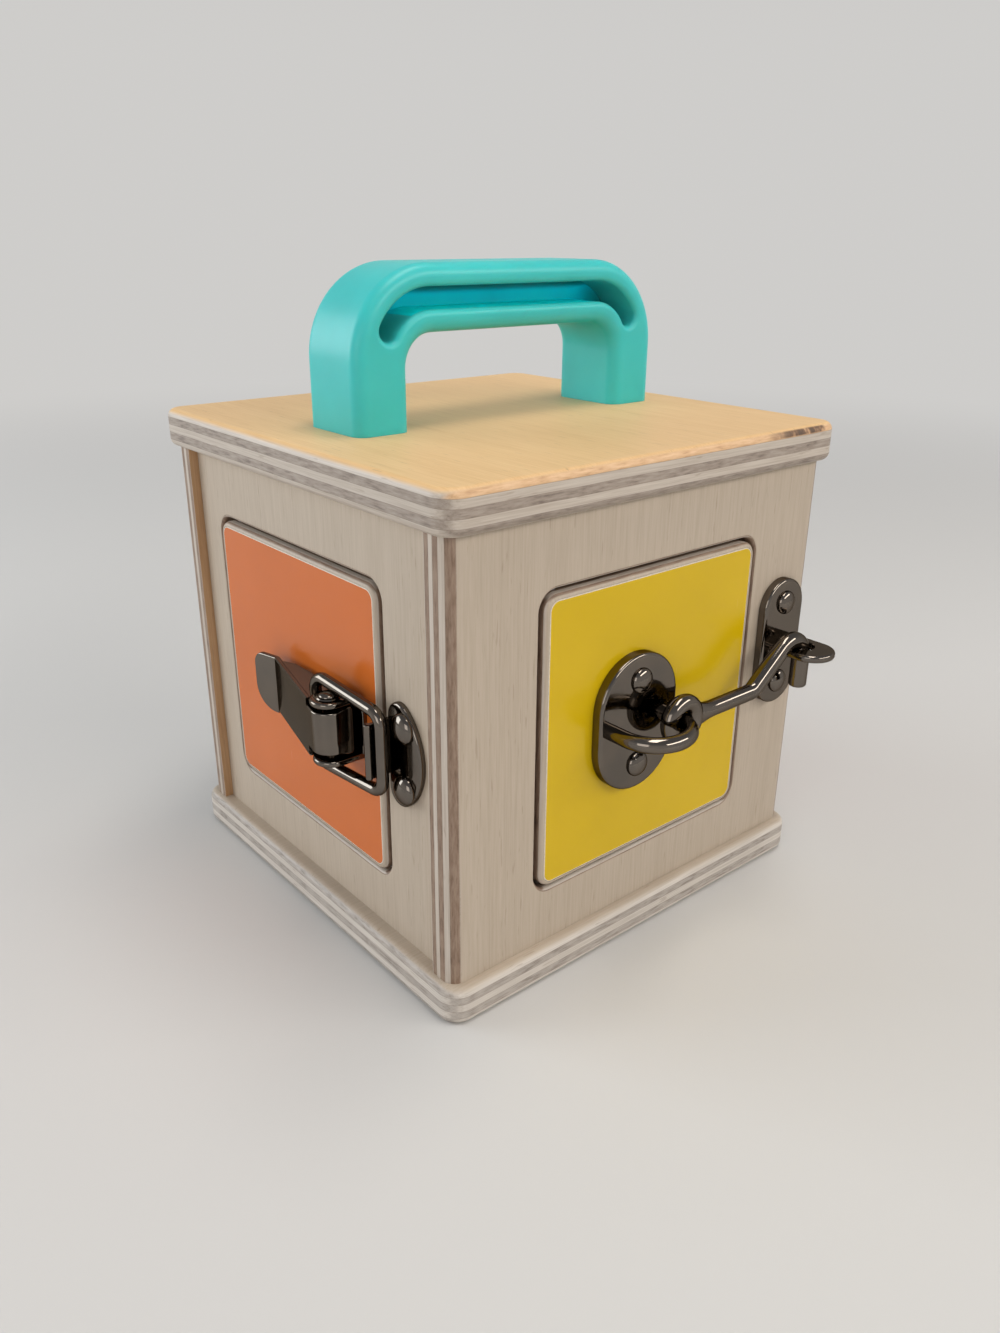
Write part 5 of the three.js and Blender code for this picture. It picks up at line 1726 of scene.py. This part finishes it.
@dataclass(frozen=True)
class ToggleLatch(Latch):
    """Toggle latch on the left door: base with ears, rolled lever, wire loop and the strike."""

    rise: float = 1.1
    pivot_from_edge: float = 14
    pivot_standoff: float = 9.5
    base_length: float = 36
    base_thickness: float = 1.5
    base_corner: float = 3
    base_past_pivot: float = 6
    ear_thickness: float = 1.9
    ear_inside: float = 8.1
    ear_radius: float = 5.4
    base_height: float = 14
    ear_round: float = 0.8
    side_gap: float = 0.3
    screw_pitch: float = 11
    screw_head: float = 6.6
    lever_height: float = 18.4
    barrel_height: float = 13
    barrel_rise: float = 0.5
    tail_height: float = 14.6
    tail: float = 4.2
    notch: float = 3.9
    sheet: float = 1.8
    flange: float = 1.6
    flange_lift: float = 0.9
    barrel: float = 11
    lever_run: float = 37.5
    crease_standoff: float = 6
    tab: float = 9.4
    tab_lift: float = math.radians(14)
    tab_upper_corner: float = 3.2
    tab_lower_corner: float = 8
    tab_step: float = 0.7
    pin: float = 3.2
    pin_head: float = 5.6
    pin_head_height: float = 1.2
    washer: float = 7.2
    washer_thickness: float = 0.4
    bail_wire: float = 3.6
    bail_half: float = 13.9
    bar_half: float = 12
    bar_drop: float = 1.4
    bail_bend: float = 4.2
    bail_behind: float = 9
    bail_standoff: float = 8.3
    bar_past_edge: float = 6.5
    bar_standoff: float = 5.8
    strike_width: float = 15.4
    strike_past_lip: float = 1.2
    strike_height: float = 36.6
    strike_thickness: float = 1.8
    strike_screws: float = 18.8
    strike_inset: float = 9
    strike_corner: float = 5
    lip_height: float = 8
    lip_width: float = 16.8
    strike_drop: float = 2.2
    lip_drop: float = 1
    lip_gap: float = 0.5
    lip_bead: float = 2.2
    base_rim: float = 0.4
    web_corner: float = 1
    washer_ease: float = 0.1
    washer_slope: float = 0.25
    head_ease: float = 0.12
    head_rim: float = 0.15
    crease_bend: float = 2.2
    notch_step: float = 0.02
    tail_stations: tuple[float, ...] = (0.15, 0.6, 0.9, 1)
    tail_flare: float = 0.6
    tail_ease: float = 0.8
    sheet_soft: float = 0.5
    sheet_soft_share: float = 0.2
    flange_start: float = 1.5
    flange_toe: float = 6
    flange_rim: float = 0.3
    flange_steps: int = 14
    strike_rim: float = 0.9
    strike_screw_head: float = 9
    lip_rim: float = 0.3

    @property
    def height(self) -> float:
        """Level of the latch's middle."""
        return self.case.latch_height + self.rise

    @property
    def pivot(self) -> Point:
        """The lever's pivot: place along the wall and distance from the box's middle."""
        return self.wall.latch_edge - self.pivot_from_edge, self.wall.face + self.pivot_standoff

    @property
    def bar_x(self) -> float:
        """Place, along the wall, of the wire loop's bar."""
        return self.wall.latch_edge + self.bar_past_edge

    def base(self) -> None:
        """Base plate with its two ears, the rivet between them and the screws."""
        wall, height, inside = self.wall, self.height, self.ear_inside
        pivot_x, pivot = self.pivot
        centre = pivot_x + self.base_past_pivot - self.base_length / 2
        face = wall.door_face + self.base_thickness
        rim = eased(wall.door_face + SEAT, face, 0, self.base_rim)
        skin = Skin()
        outline = rounded_rectangle(self.base_length, self.base_height, self.base_corner, (centre, height))
        skin.plate(outline, rim, facing)
        foot = face - self.base_thickness / 2
        top = arc((pivot_x, -pivot), self.ear_radius, HALF_TURN, FULL_TURN, ROUND_STEPS)
        plan = [(pivot_x - self.ear_radius, -foot), *top, (pivot_x + self.ear_radius, -foot)]
        for bottom in (height + inside, height - inside - self.ear_thickness):
            edge = eased(bottom, bottom + self.ear_thickness, self.ear_round, self.ear_round)
            skin.plate(distinct(plan), edge, lying)
        span = 2 * inside + self.ear_thickness
        web = rounded_rectangle(2 * self.ear_radius, span, self.web_corner, (pivot_x, height))
        skin.plate(web, rim, facing)
        self.plated(skin, "toggle_foot", "left_door", "toggle_base")
        self.rivet()
        screw_x = centre - self.base_past_pivot
        for end, way in (("rear", -1), ("front", 1)):
            place = screw_x + way * self.screw_pitch / 2
            name = f"toggle_base_screw_{end}"
            screw = Screw(name, wall.side, place, height, face + SEAT, self.screw_head)
            self.shop.wait("left_door", screw)

    def rivet(self) -> None:
        """Rivet through the ears, with a washer and a domed head at each end."""
        height = self.height
        pivot_x, pivot = self.pivot
        seat = self.ear_inside + self.ear_thickness + SEAT
        shoulder = seat + self.washer_thickness
        washer, head, rise = self.washer / 2, self.pin_head / 2, self.pin_head_height
        rim = shoulder + self.head_rim
        half = [(self.pin / 2, seat), (washer - self.washer_ease, seat), (washer, seat + self.washer_ease)]
        half += [(washer - self.washer_slope, shoulder), (head - self.head_ease, shoulder), (head, rim)]
        for step in range(1, EASE_STEPS):
            turn = QUARTER * step / EASE_STEPS
            half.append((head * math.cos(turn), rim + (rise - self.head_rim) * math.sin(turn)))
        profile = [(radius, -level) for radius, level in reversed(half)] + half
        profile = [(0, -shoulder - rise), *profile, (0, shoulder + rise)]

        def draw(u: float, v: float, level: float) -> Vector:
            """Point of the rivet."""
            return Vector((pivot_x + u, v - pivot, height + level))

        skin = Skin()
        skin.turned(profile, draw)
        self.plated(skin, "lever_rivet", "left_door", "lever_pin")

    def lever(self) -> None:
        """Lever: finger tab, crease, slope with side flanges, and the end rolled round the pivot."""
        pivot_x, pivot = self.pivot
        crease_x, crease = pivot_x - self.lever_run, self.wall.face + self.crease_standoff
        rise = self.pivot_standoff - self.crease_standoff
        tangent = math.asin(self.barrel / 2 / math.hypot(rise, self.lever_run))
        slope = math.atan2(rise, self.lever_run) + tangent
        inner = self.sheet / 2
        roll = self.barrel / 2 - inner
        start = Vector((crease_x, -crease + inner))
        out = Vector((-math.sin(slope), -math.cos(slope)))
        touch = Vector((pivot_x, -pivot)) + roll * out
        tab_way = Vector((-math.cos(self.tab_lift), -math.sin(self.tab_lift)))
        tip = start + tab_way * self.tab
        full, narrow, rise = self.lever_height / 2, self.barrel_height / 2, self.barrel_rise
        stations: list[tuple[Vector, float, float]] = []
        widest = max(self.tab_upper_corner, self.tab_lower_corner)
        for step in range(HALF_STEPS + 1):
            reach = widest * (1 - math.cos(QUARTER * step / HALF_STEPS))
            low = self.rounded_half(full + self.tab_step, self.tab_lower_corner, reach)
            high = self.rounded_half(full, self.tab_upper_corner, reach)
            stations.append((tip - tab_way * reach, low, high))
        turn = [Vector((*tip, 0)), Vector((*start, 0)), Vector((*touch, 0))]
        for index, point in enumerate(bent(turn, self.crease_bend, EASE_STEPS)[1:-1]):
            step_left = self.tab_step * max(1 - 2 * index / EASE_STEPS, 0)
            stations.append((point.xy, full + step_left, full))
        along = (touch - start).normalized()
        edge = touch - along * self.notch
        stations.append((edge - along * self.notch_step, full, full))
        stations.append((edge, narrow - rise, narrow + rise))
        first = math.atan2(out.y, out.x)
        for point in arc((pivot_x, -pivot), roll, first, 0, ROUND_STEPS):
            stations.append((Vector(point), narrow - rise, narrow + rise))
        tail_end = self.tail_height / 2
        for share in self.tail_stations:
            half = narrow + (tail_end - narrow) * min(share / self.tail_flare, 1)
            half -= self.tail_ease if share == 1 else 0
            place = Vector((pivot_x + roll, -pivot + self.tail * share))
            stations.append((place, half - rise, half + rise))
        path = [(point.x, point.y) for point, _, _ in stations]
        skin = Skin()
        skin.strap(path, [self.section(low, high) for _, low, high in stations])
        self.flanges(skin, start, touch)
        self.plated(skin, "lever_rolled", "toggle_lever", "toggle_lever")

    @staticmethod
    def rounded_half(half: float, corner: float, reach: float) -> float:
        """Half width of a plate with a rounded corner.

        Args:
            half: half width of the whole plate.
            corner: radius of its corner.
            reach: distance from its end.

        Returns:
            The half width there.
        """
        short = max(corner - reach, 0)
        return half - corner + math.sqrt(max(corner ** 2 - short ** 2, 0))

    def section(self, low: float, high: float) -> Outline:
        """Outline across the lever's sheet.

        Args:
            low: how far the sheet reaches below its middle.
            high: how far it reaches above.

        Returns:
            Sideways offsets and heights, with soft edges.
        """
        soft = min(self.sheet_soft, (low + high) * self.sheet_soft_share)
        return rounded_rectangle(self.sheet, low + high, soft, (0, self.height + (high - low) / 2))

    def flanges(self, skin: Skin, start: Vector, touch: Vector) -> None:
        """Side flanges between the lever's slope and the door, cut round the ears.

        Args:
            skin: surface that they join.
            start: the crease.
            touch: where the slope meets the barrel.
        """
        pivot_x, pivot = self.pivot
        along = (touch - start).normalized()
        reach = self.ear_radius + self.side_gap
        off = (touch - Vector((pivot_x, -pivot))).length
        last = touch - along * math.sqrt(reach ** 2 - off ** 2)
        low = self.wall.door_face + self.base_thickness + self.flange_lift
        near = start + along * (self.sheet * self.flange_start)
        first = math.atan2(last.y + pivot, last.x - pivot_x)
        end = HALF_TURN if first > 0 else -HALF_TURN
        round_end = arc((pivot_x, -pivot), reach, first, end, self.flange_steps)
        plan = [(near.x, near.y), *round_end, (pivot_x - reach, -low), (near.x + self.flange_toe, -low)]
        full = self.lever_height / 2
        for bottom in (self.height - full, self.height + full - self.flange):
            rim = eased(bottom, bottom + self.flange, self.flange_rim, self.flange_rim, EDGE_STEPS)
            skin.plate(distinct(plan), rim, lying)

    def bail(self) -> None:
        """Wire loop from the lever's flanges round the strike's lip."""
        hinge_x, hinge = self.pivot[0] - self.bail_behind, self.wall.face + self.bail_standoff
        bar_x, bar = self.bar_x, self.wall.face + self.bar_standoff
        inner = self.lever_height / 2 - self.flange
        half = self.bail_half
        upper, lower = self.bar_half - self.bar_drop, -self.bar_half - self.bar_drop
        ends = [(hinge_x, hinge, inner), (hinge_x, hinge, half), (bar_x, bar, upper),
                (bar_x, bar, lower), (hinge_x, hinge, -half), (hinge_x, hinge, -inner)]
        corners = [Vector((x, -distance, self.height + level)) for x, distance, level in ends]
        path = bent(corners, self.bail_bend)
        nickel = self.shop.stock.nickel
        wire = self.shop.wires.draw("bail_wire", path, self.bail_wire, self.wall.side, nickel)
        self.shop.nickel(wire, "toggle_bail", "toggle_bail")

    def strike(self) -> None:
        """Strike with a bowed edge and a beaded lip."""
        wall = self.wall
        height = self.height - self.strike_drop
        lip = self.bar_x - self.bail_wire / 2 - self.lip_gap - self.strike_thickness
        edge = lip + self.strike_past_lip
        half = self.strike_height / 2
        bow = (half ** 2 + self.strike_width ** 2) / (2 * self.strike_width)
        soft = self.strike_corner
        centre = edge + self.strike_width - bow
        reach = math.sqrt((bow - soft) ** 2 - (edge + soft - centre) ** 2)
        lean = math.atan2(reach, edge + soft - centre)
        outline = arc((centre, height), bow, -lean, lean, BOW_STEPS)
        outline += arc((edge + soft, height + reach), soft, lean, HALF_TURN)
        outline += arc((edge + soft, height - reach), soft, HALF_TURN, FULL_TURN - lean)
        face = wall.face + self.strike_thickness
        skin = Skin()
        skin.plate(distinct(outline), eased(wall.face + SEAT, face, 0, self.strike_rim), facing)
        rim = wall.face + self.lip_height
        x = lip + self.strike_thickness / 2
        bead = self.lip_bead / 2
        neck = self.strike_thickness / 2
        start = math.asin(neck / bead)
        top = arc((x, -rim), bead, HALF_TURN - start, FULL_TURN + start, HALF_STEPS)
        plan = [(x - neck, -wall.face - SEAT), *top, (x + neck, -wall.face - SEAT)]
        middle = self.height - self.lip_drop
        low, high = middle - self.lip_width / 2, middle + self.lip_width / 2
        skin.plate(distinct(plan), eased(low, high, self.lip_rim, self.lip_rim, EDGE_STEPS), lying)
        self.plated(skin, "strike_with_lip", "box", "toggle_strike")
        place = (lip + self.strike_inset, height)
        head = self.strike_screw_head
        self.screw_pair("box", "toggle_strike_screw", place, self.strike_screws, face, head)

    def build(self) -> None:
        """Makes and dresses the whole latch."""
        self.base()
        self.lever()
        self.bail()
        self.strike()


@dataclass(frozen=True)
class BarrelBolt(Latch):
    """Barrel bolt on the back door and its keeper on the frame."""

    plate_height: float = 32
    plate_corner: float = 5
    plate_thickness: float = 1.6
    plate_from_edge: float = 27.5
    screws: float = 23
    screw_head: float = 7.4
    bolt: float = 6.4
    clearance: float = 0.35
    guide_width: float = 7
    guide_wall: float = 1.5
    guide_inset: float = 3
    throw: float = 20
    tail: float = 2.5
    knob_stem: float = 4
    knob_sink: float = 2.6
    knob: float = 9
    knob_standoff: float = 9
    knob_gap: float = 0.5
    keeper_width: float = 17
    keeper_from_edge: float = 12.5
    keeper_guide: float = 8
    plate_rim: float = 0.5
    guide_rim: float = 0.35
    tail_round: float = 0.5
    tail_ease: float = 0.15
    knob_steps: int = 20

    @property
    def spacing(self) -> float:
        """Distance between the two guides."""
        return self.guide_width + self.throw + self.knob_stem + 2 * self.knob_gap

    @property
    def axis(self) -> float:
        """Distance of the bolt's axis from the box's middle."""
        return self.wall.door_face + self.plate_thickness + SEAT + self.clearance + self.bolt / 2

    def fitting(self, x: float, width: float, back: float, guides: Sequence[Point]) -> Skin:
        """Plate with arched guides for the bolt.

        Args:
            x: middle of the plate.
            width: its width.
            back: distance of its back.
            guides: middle and width of each guide.

        Returns:
            The surface.
        """
        skin = Skin()
        height, axis = self.height, self.axis
        outline = rounded_rectangle(width, self.plate_height, self.plate_corner, (x, height))
        skin.plate(outline, eased(back + SEAT, back + self.plate_thickness, 0, self.plate_rim), facing)
        outer = self.bolt / 2 + self.clearance + self.guide_wall
        inner = self.bolt / 2 + self.clearance
        foot = back + self.plate_thickness / 2 - axis
        over = arc((0, 0), outer, 0, HALF_TURN, HALF_STEPS)
        under = arc((0, 0), inner, 0, HALF_TURN, HALF_STEPS)
        arch = [(-outer, foot), *reversed(over), (outer, foot), (inner, foot), *under, (-inner, foot)]
        arch = distinct(arch[::-1])

        def draw(level: float, out: float, along: float) -> Vector:
            """Point of a guide, which runs along the bolt."""
            return Vector((along, -axis - out, height + level))

        for middle, length in guides:
            start, end = middle - length / 2, middle + length / 2
            skin.plate(arch, eased(start, end, self.guide_rim, self.guide_rim, EDGE_STEPS), draw)
        return skin

    def build(self) -> None:
        """Makes and dresses the whole latch."""
        wall, height, axis = self.wall, self.height, self.axis
        x = wall.latch_edge - self.plate_from_edge
        keeper = wall.latch_edge + self.keeper_from_edge
        front, rear = x + self.spacing / 2, x - self.spacing / 2
        length = self.spacing + self.guide_width + 2 * self.guide_inset
        guides = [(front, self.guide_width), (rear, self.guide_width)]
        plate = self.fitting(x, length, wall.door_face, guides)
        self.plated(plate, "bolt_backplate", "back_door", "bolt_plate")
        keep = self.fitting(keeper, self.keeper_width, wall.face, [(keeper, self.keeper_guide)])
        self.plated(keep, "bolt_keep", "box", "bolt_keeper")

        def along_bolt(u: float, v: float, level: float) -> Vector:
            """Point of the bolt, whose axis runs along the wall."""
            return Vector((level, -axis - u, height + v))

        radius, blunt, ease = self.bolt / 2, self.tail_round, self.tail_ease
        tail, tip = rear - self.guide_width / 2 - self.tail, keeper + self.keeper_guide / 2
        profile = [(0, tail), (radius - blunt, tail), (radius - ease, tail + ease), (radius, tail + blunt)]
        for step in range(ARC_STEPS):
            turn = QUARTER * step / ARC_STEPS
            profile.append((radius * math.cos(turn), tip + radius * math.sin(turn)))
        profile.append((0, tip + radius))
        bar = Skin()
        bar.turned(profile, along_bolt)
        self.plated(bar, "bolt_bar", "sliding_bolt", "sliding_bolt")
        knob_x = front - self.guide_width / 2 - self.knob_gap - self.knob_stem / 2

        def knob_point(u: float, v: float, level: float) -> Vector:
            """Point of the knob, which stands out of the bolt."""
            return Vector((knob_x + u, -axis - level, height + v))

        stem, ball = self.knob_stem / 2, self.knob / 2
        start = -math.acos(stem / ball)
        profile = [(0, -self.knob_sink), (stem, -self.knob_sink)]
        for step in range(self.knob_steps):
            turn = start + (QUARTER - start) * step / self.knob_steps
            profile.append((ball * math.cos(turn), self.knob_standoff + ball * math.sin(turn)))
        profile.append((0, self.knob_standoff + ball))
        knob = Skin()
        knob.turned(profile, knob_point)
        self.plated(knob, "bolt_ball", "sliding_bolt", "bolt_knob")
        for body, name, place, back in (
            ("back_door", "bolt_plate_screw", x, wall.door_face),
            ("box", "bolt_keeper_screw", keeper, wall.face),
        ):
            face = back + self.plate_thickness
            self.screw_pair(body, name, (place, height), self.screws, face, self.screw_head)


@dataclass(frozen=True)
class TurnButton(Latch):
    """Turn button on the right stile, which swings across the edge of the door."""

    plate_width: float = 17
    plate_height: float = 36
    plate_thickness: float = 2
    from_edge: float = 11.5
    screws: float = 25
    screw_head: float = 7.4
    boss: float = 11
    boss_height: float = 3.2
    bar_length: float = 21
    bar_tail: float = 6
    bar_width: float = 12
    bar_tip: float = 8
    bar_thickness: float = 3
    grip_height: float = 7
    grip_length: float = 15
    grip_thickness: float = 3.4
    running_gap: float = 0.3
    plate_rim: float = 0.7
    boss_rim: float = 0.5
    bar_rim: float = 0.8
    bar_steps: int = 28
    grip_sink: float = 1
    grip_rim: float = 1.1

    def build(self) -> None:
        """Makes and dresses the whole latch."""
        wall, height = self.wall, self.height
        x = wall.latch_edge + self.from_edge
        face = wall.face + self.plate_thickness
        boss = face + self.boss_height
        skin = Skin()
        outline = stadium(self.plate_width, self.plate_height, (x, height))
        skin.plate(outline, eased(wall.face + SEAT, face, 0, self.plate_rim), facing)
        hub = arc((x, height), self.boss / 2, 0, FULL_TURN, SIDES)[:-1]
        skin.plate(hub, eased(face - self.plate_thickness / 2, boss, 0, self.boss_rim), facing)
        self.plated(skin, "turn_backplate", "box", "turn_plate")
        bar = boss + self.running_gap
        bar_face = bar + self.bar_thickness
        wide, narrow = self.bar_width / 2, self.bar_tip / 2
        blade = arc((x, height), wide, -QUARTER, QUARTER, self.bar_steps)
        tip = (x + narrow - self.bar_length, height)
        blade += arc(tip, narrow, QUARTER, 3 * QUARTER, HALF_STEPS)
        button = Skin()
        button.plate(distinct(blade), eased(bar, bar_face, self.bar_rim, self.bar_rim), facing)
        grip_x = x + wide - self.bar_tail / 2 - self.grip_length / 2
        grip = stadium(self.grip_length, self.grip_thickness, (grip_x, height))
        crown = bar_face + self.grip_height
        button.plate(grip, eased(bar_face - self.grip_sink, crown, 0, self.grip_rim), facing)
        self.plated(button, "turn_bar", "turn_button", "turn_button")
        self.screw_pair("box", "turn_plate_screw", (x, height), self.screws, face, self.screw_head)


# The studio


@dataclass(frozen=True)
class Lamp:
    """Soft box light: place, aim, width, height, power and colour."""

    name: str
    place: Place
    aim: Place
    width: float
    height: float
    power: float
    colour: Colour = (1, 1, 1)

    def build(self) -> None:
        """Adds the light."""
        light = bpy.data.lights.new(self.name, "AREA")
        light.shape = "RECTANGLE"
        light.size = self.width
        light.size_y = self.height
        light.energy = self.power
        light.color = self.colour
        lamp = bpy.data.objects.new(self.name, light)
        turn = (Vector(self.aim) - Vector(self.place)).to_track_quat("-Z", "Y")
        lamp.matrix_world = Matrix.Translation(self.place) @ turn.to_matrix().to_4x4()
        bpy.context.scene.collection.objects.link(lamp)


@dataclass(frozen=True)
class Studio:
    """Pale floor, soft light and the camera of the photograph."""

    eye: Place = (-0.216908, -0.263207, 0.208325)
    heading: float = math.radians(-40)
    dip: float = math.radians(22.63)
    roll: float = math.radians(0.351)
    focal: float = 1046.6
    frame_height: float = 1333
    sensor: float = 36
    nearest: float = 0.01
    floor_size: float = 8
    horizon: Colour = (0.62, 0.61, 0.595)
    zenith: Colour = (0.3, 0.31, 0.33)
    zenith_from: float = 0.12
    zenith_to: float = 0.75
    lamps: tuple[Lamp, ...] = (
        Lamp("ceiling_light", (0.1, -0.15, 1.3), (0, 0, 0.1), 0.9, 0.3, 6.8, (1, 0.95, 0.88)),
        Lamp("window_light", (-0.9, 0.95, 0.5), (0, 0, 0.12), 0.8, 0.7, 9, (0.88, 0.95, 1)),
        Lamp("front_light", (0.5, -1.1, 0.85), (0, 0, 0.08), 1.5, 0.25, 9.5, (1, 0.96, 0.9)),
        Lamp("side_light", (-1.3, -0.6, 0.5), (0, 0, 0.08), 0.7, 0.7, 3, (1, 0.97, 0.94)),
    )

    def camera(self) -> None:
        """Adds the camera at the photograph's viewpoint."""
        lens = bpy.data.cameras.new("photo_camera")
        lens.sensor_fit = "VERTICAL"
        lens.sensor_height = self.sensor
        lens.lens = self.focal / self.frame_height * self.sensor
        lens.clip_start = self.nearest
        heading = Matrix.Rotation(self.heading, 4, "Z")
        dip = Matrix.Rotation(QUARTER - self.dip, 4, "X")
        roll = Matrix.Rotation(self.roll, 4, "Z")
        camera = bpy.data.objects.new("photo_camera", lens)
        camera.matrix_world = Matrix.Translation(self.eye) @ heading @ dip @ roll
        bpy.context.scene.collection.objects.link(camera)
        bpy.context.scene.camera = camera

    def build(self, stock: Stock) -> None:
        """Adds the floor, the light and the sky.

        Args:
            stock: the materials.
        """
        skin = Skin()
        half = self.floor_size / MM / 2
        square = ((-half, -half), (half, -half), (half, half), (-half, half))
        skin.cap(skin.ring([lying(x, y, 0) for x, y in square]))
        floor = skin.finish("studio_floor")
        floor.data.materials.append(stock.floor)
        floor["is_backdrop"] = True
        for lamp in self.lamps:
            lamp.build()
        scene = bpy.context.scene
        scene.world = self.sky()
        scene.view_settings.view_transform = "Standard"

    def sky(self) -> bpy.types.World:
        """Makes the studio's walls and ceiling: pale at the horizon, darker overhead."""
        world = bpy.data.worlds.new("studio_sky")
        world.use_nodes = True
        kit = NodeKit(world.node_tree)
        place = kit.add("ShaderNodeTexCoord")
        parts = kit.add("ShaderNodeSeparateXYZ", {0: place.outputs["Generated"]})
        ramp = kit.add("ShaderNodeValToRGB", {0: parts.outputs[2]})
        ramp.color_ramp.interpolation = "EASE"
        for element, level, colour in zip(
                ramp.color_ramp.elements, (self.zenith_from, self.zenith_to), (self.horizon, self.zenith)):
            element.position = level
            element.color = (*colour, 1)
        kit.feed(kit.tree.nodes["Background"].inputs["Color"], ramp.outputs[0])
        return world


def dress_hidden_nodes(nodes: dict[str, Piece], stock: Stock) -> None:
    """Gives the CAD nodes that still show their finishes.

    Args:
        nodes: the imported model's nodes.
        stock: the materials.
    """
    for name, node in nodes.items():
        if node.hide_render:
            continue
        if name.endswith("_stop"):
            finish = stock.cleat
        elif name == "turn_pin":
            finish = stock.nickel
        else:
            finish = stock.zinc
        node.data.materials.clear()
        node.data.materials.append(finish)
        LOG.info("%s keeps its CAD shape", name)


def corners(box: Sequence[Sequence[float]]) -> list[list[float]]:
    """Plain lists of a box's lowest and highest corner."""
    return [[float(value) for value in corner] for corner in box]


def main() -> None:
    """Builds the box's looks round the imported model, piece by piece."""
    logging.basicConfig(level=logging.INFO, format="%(name)s: %(message)s")
    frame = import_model()
    cad_box = corners(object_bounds())
    studio = Studio()
    studio.camera()
    stock = Stock()
    shop = Workshop(stock, WireTree(), ScrewTree())
    case = Case()
    case.build(shop)
    Handle().build(shop, case)
    latches = {
        Side.FRONT: CabinHook, Side.LEFT: ToggleLatch, Side.BACK: BarrelBolt, Side.RIGHT: TurnButton}
    for side, latch in latches.items():
        latch(case, case.wall(side), shop).build()
    shop.drive_screws()
    dress_hidden_nodes(frame["nodes"], stock)
    studio.build(stock)
    sizes = {"cad": cad_box, "visual": corners(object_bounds())}
    LOG.info("sizes %s", sizes)


if __name__ == "__main__":
    main()
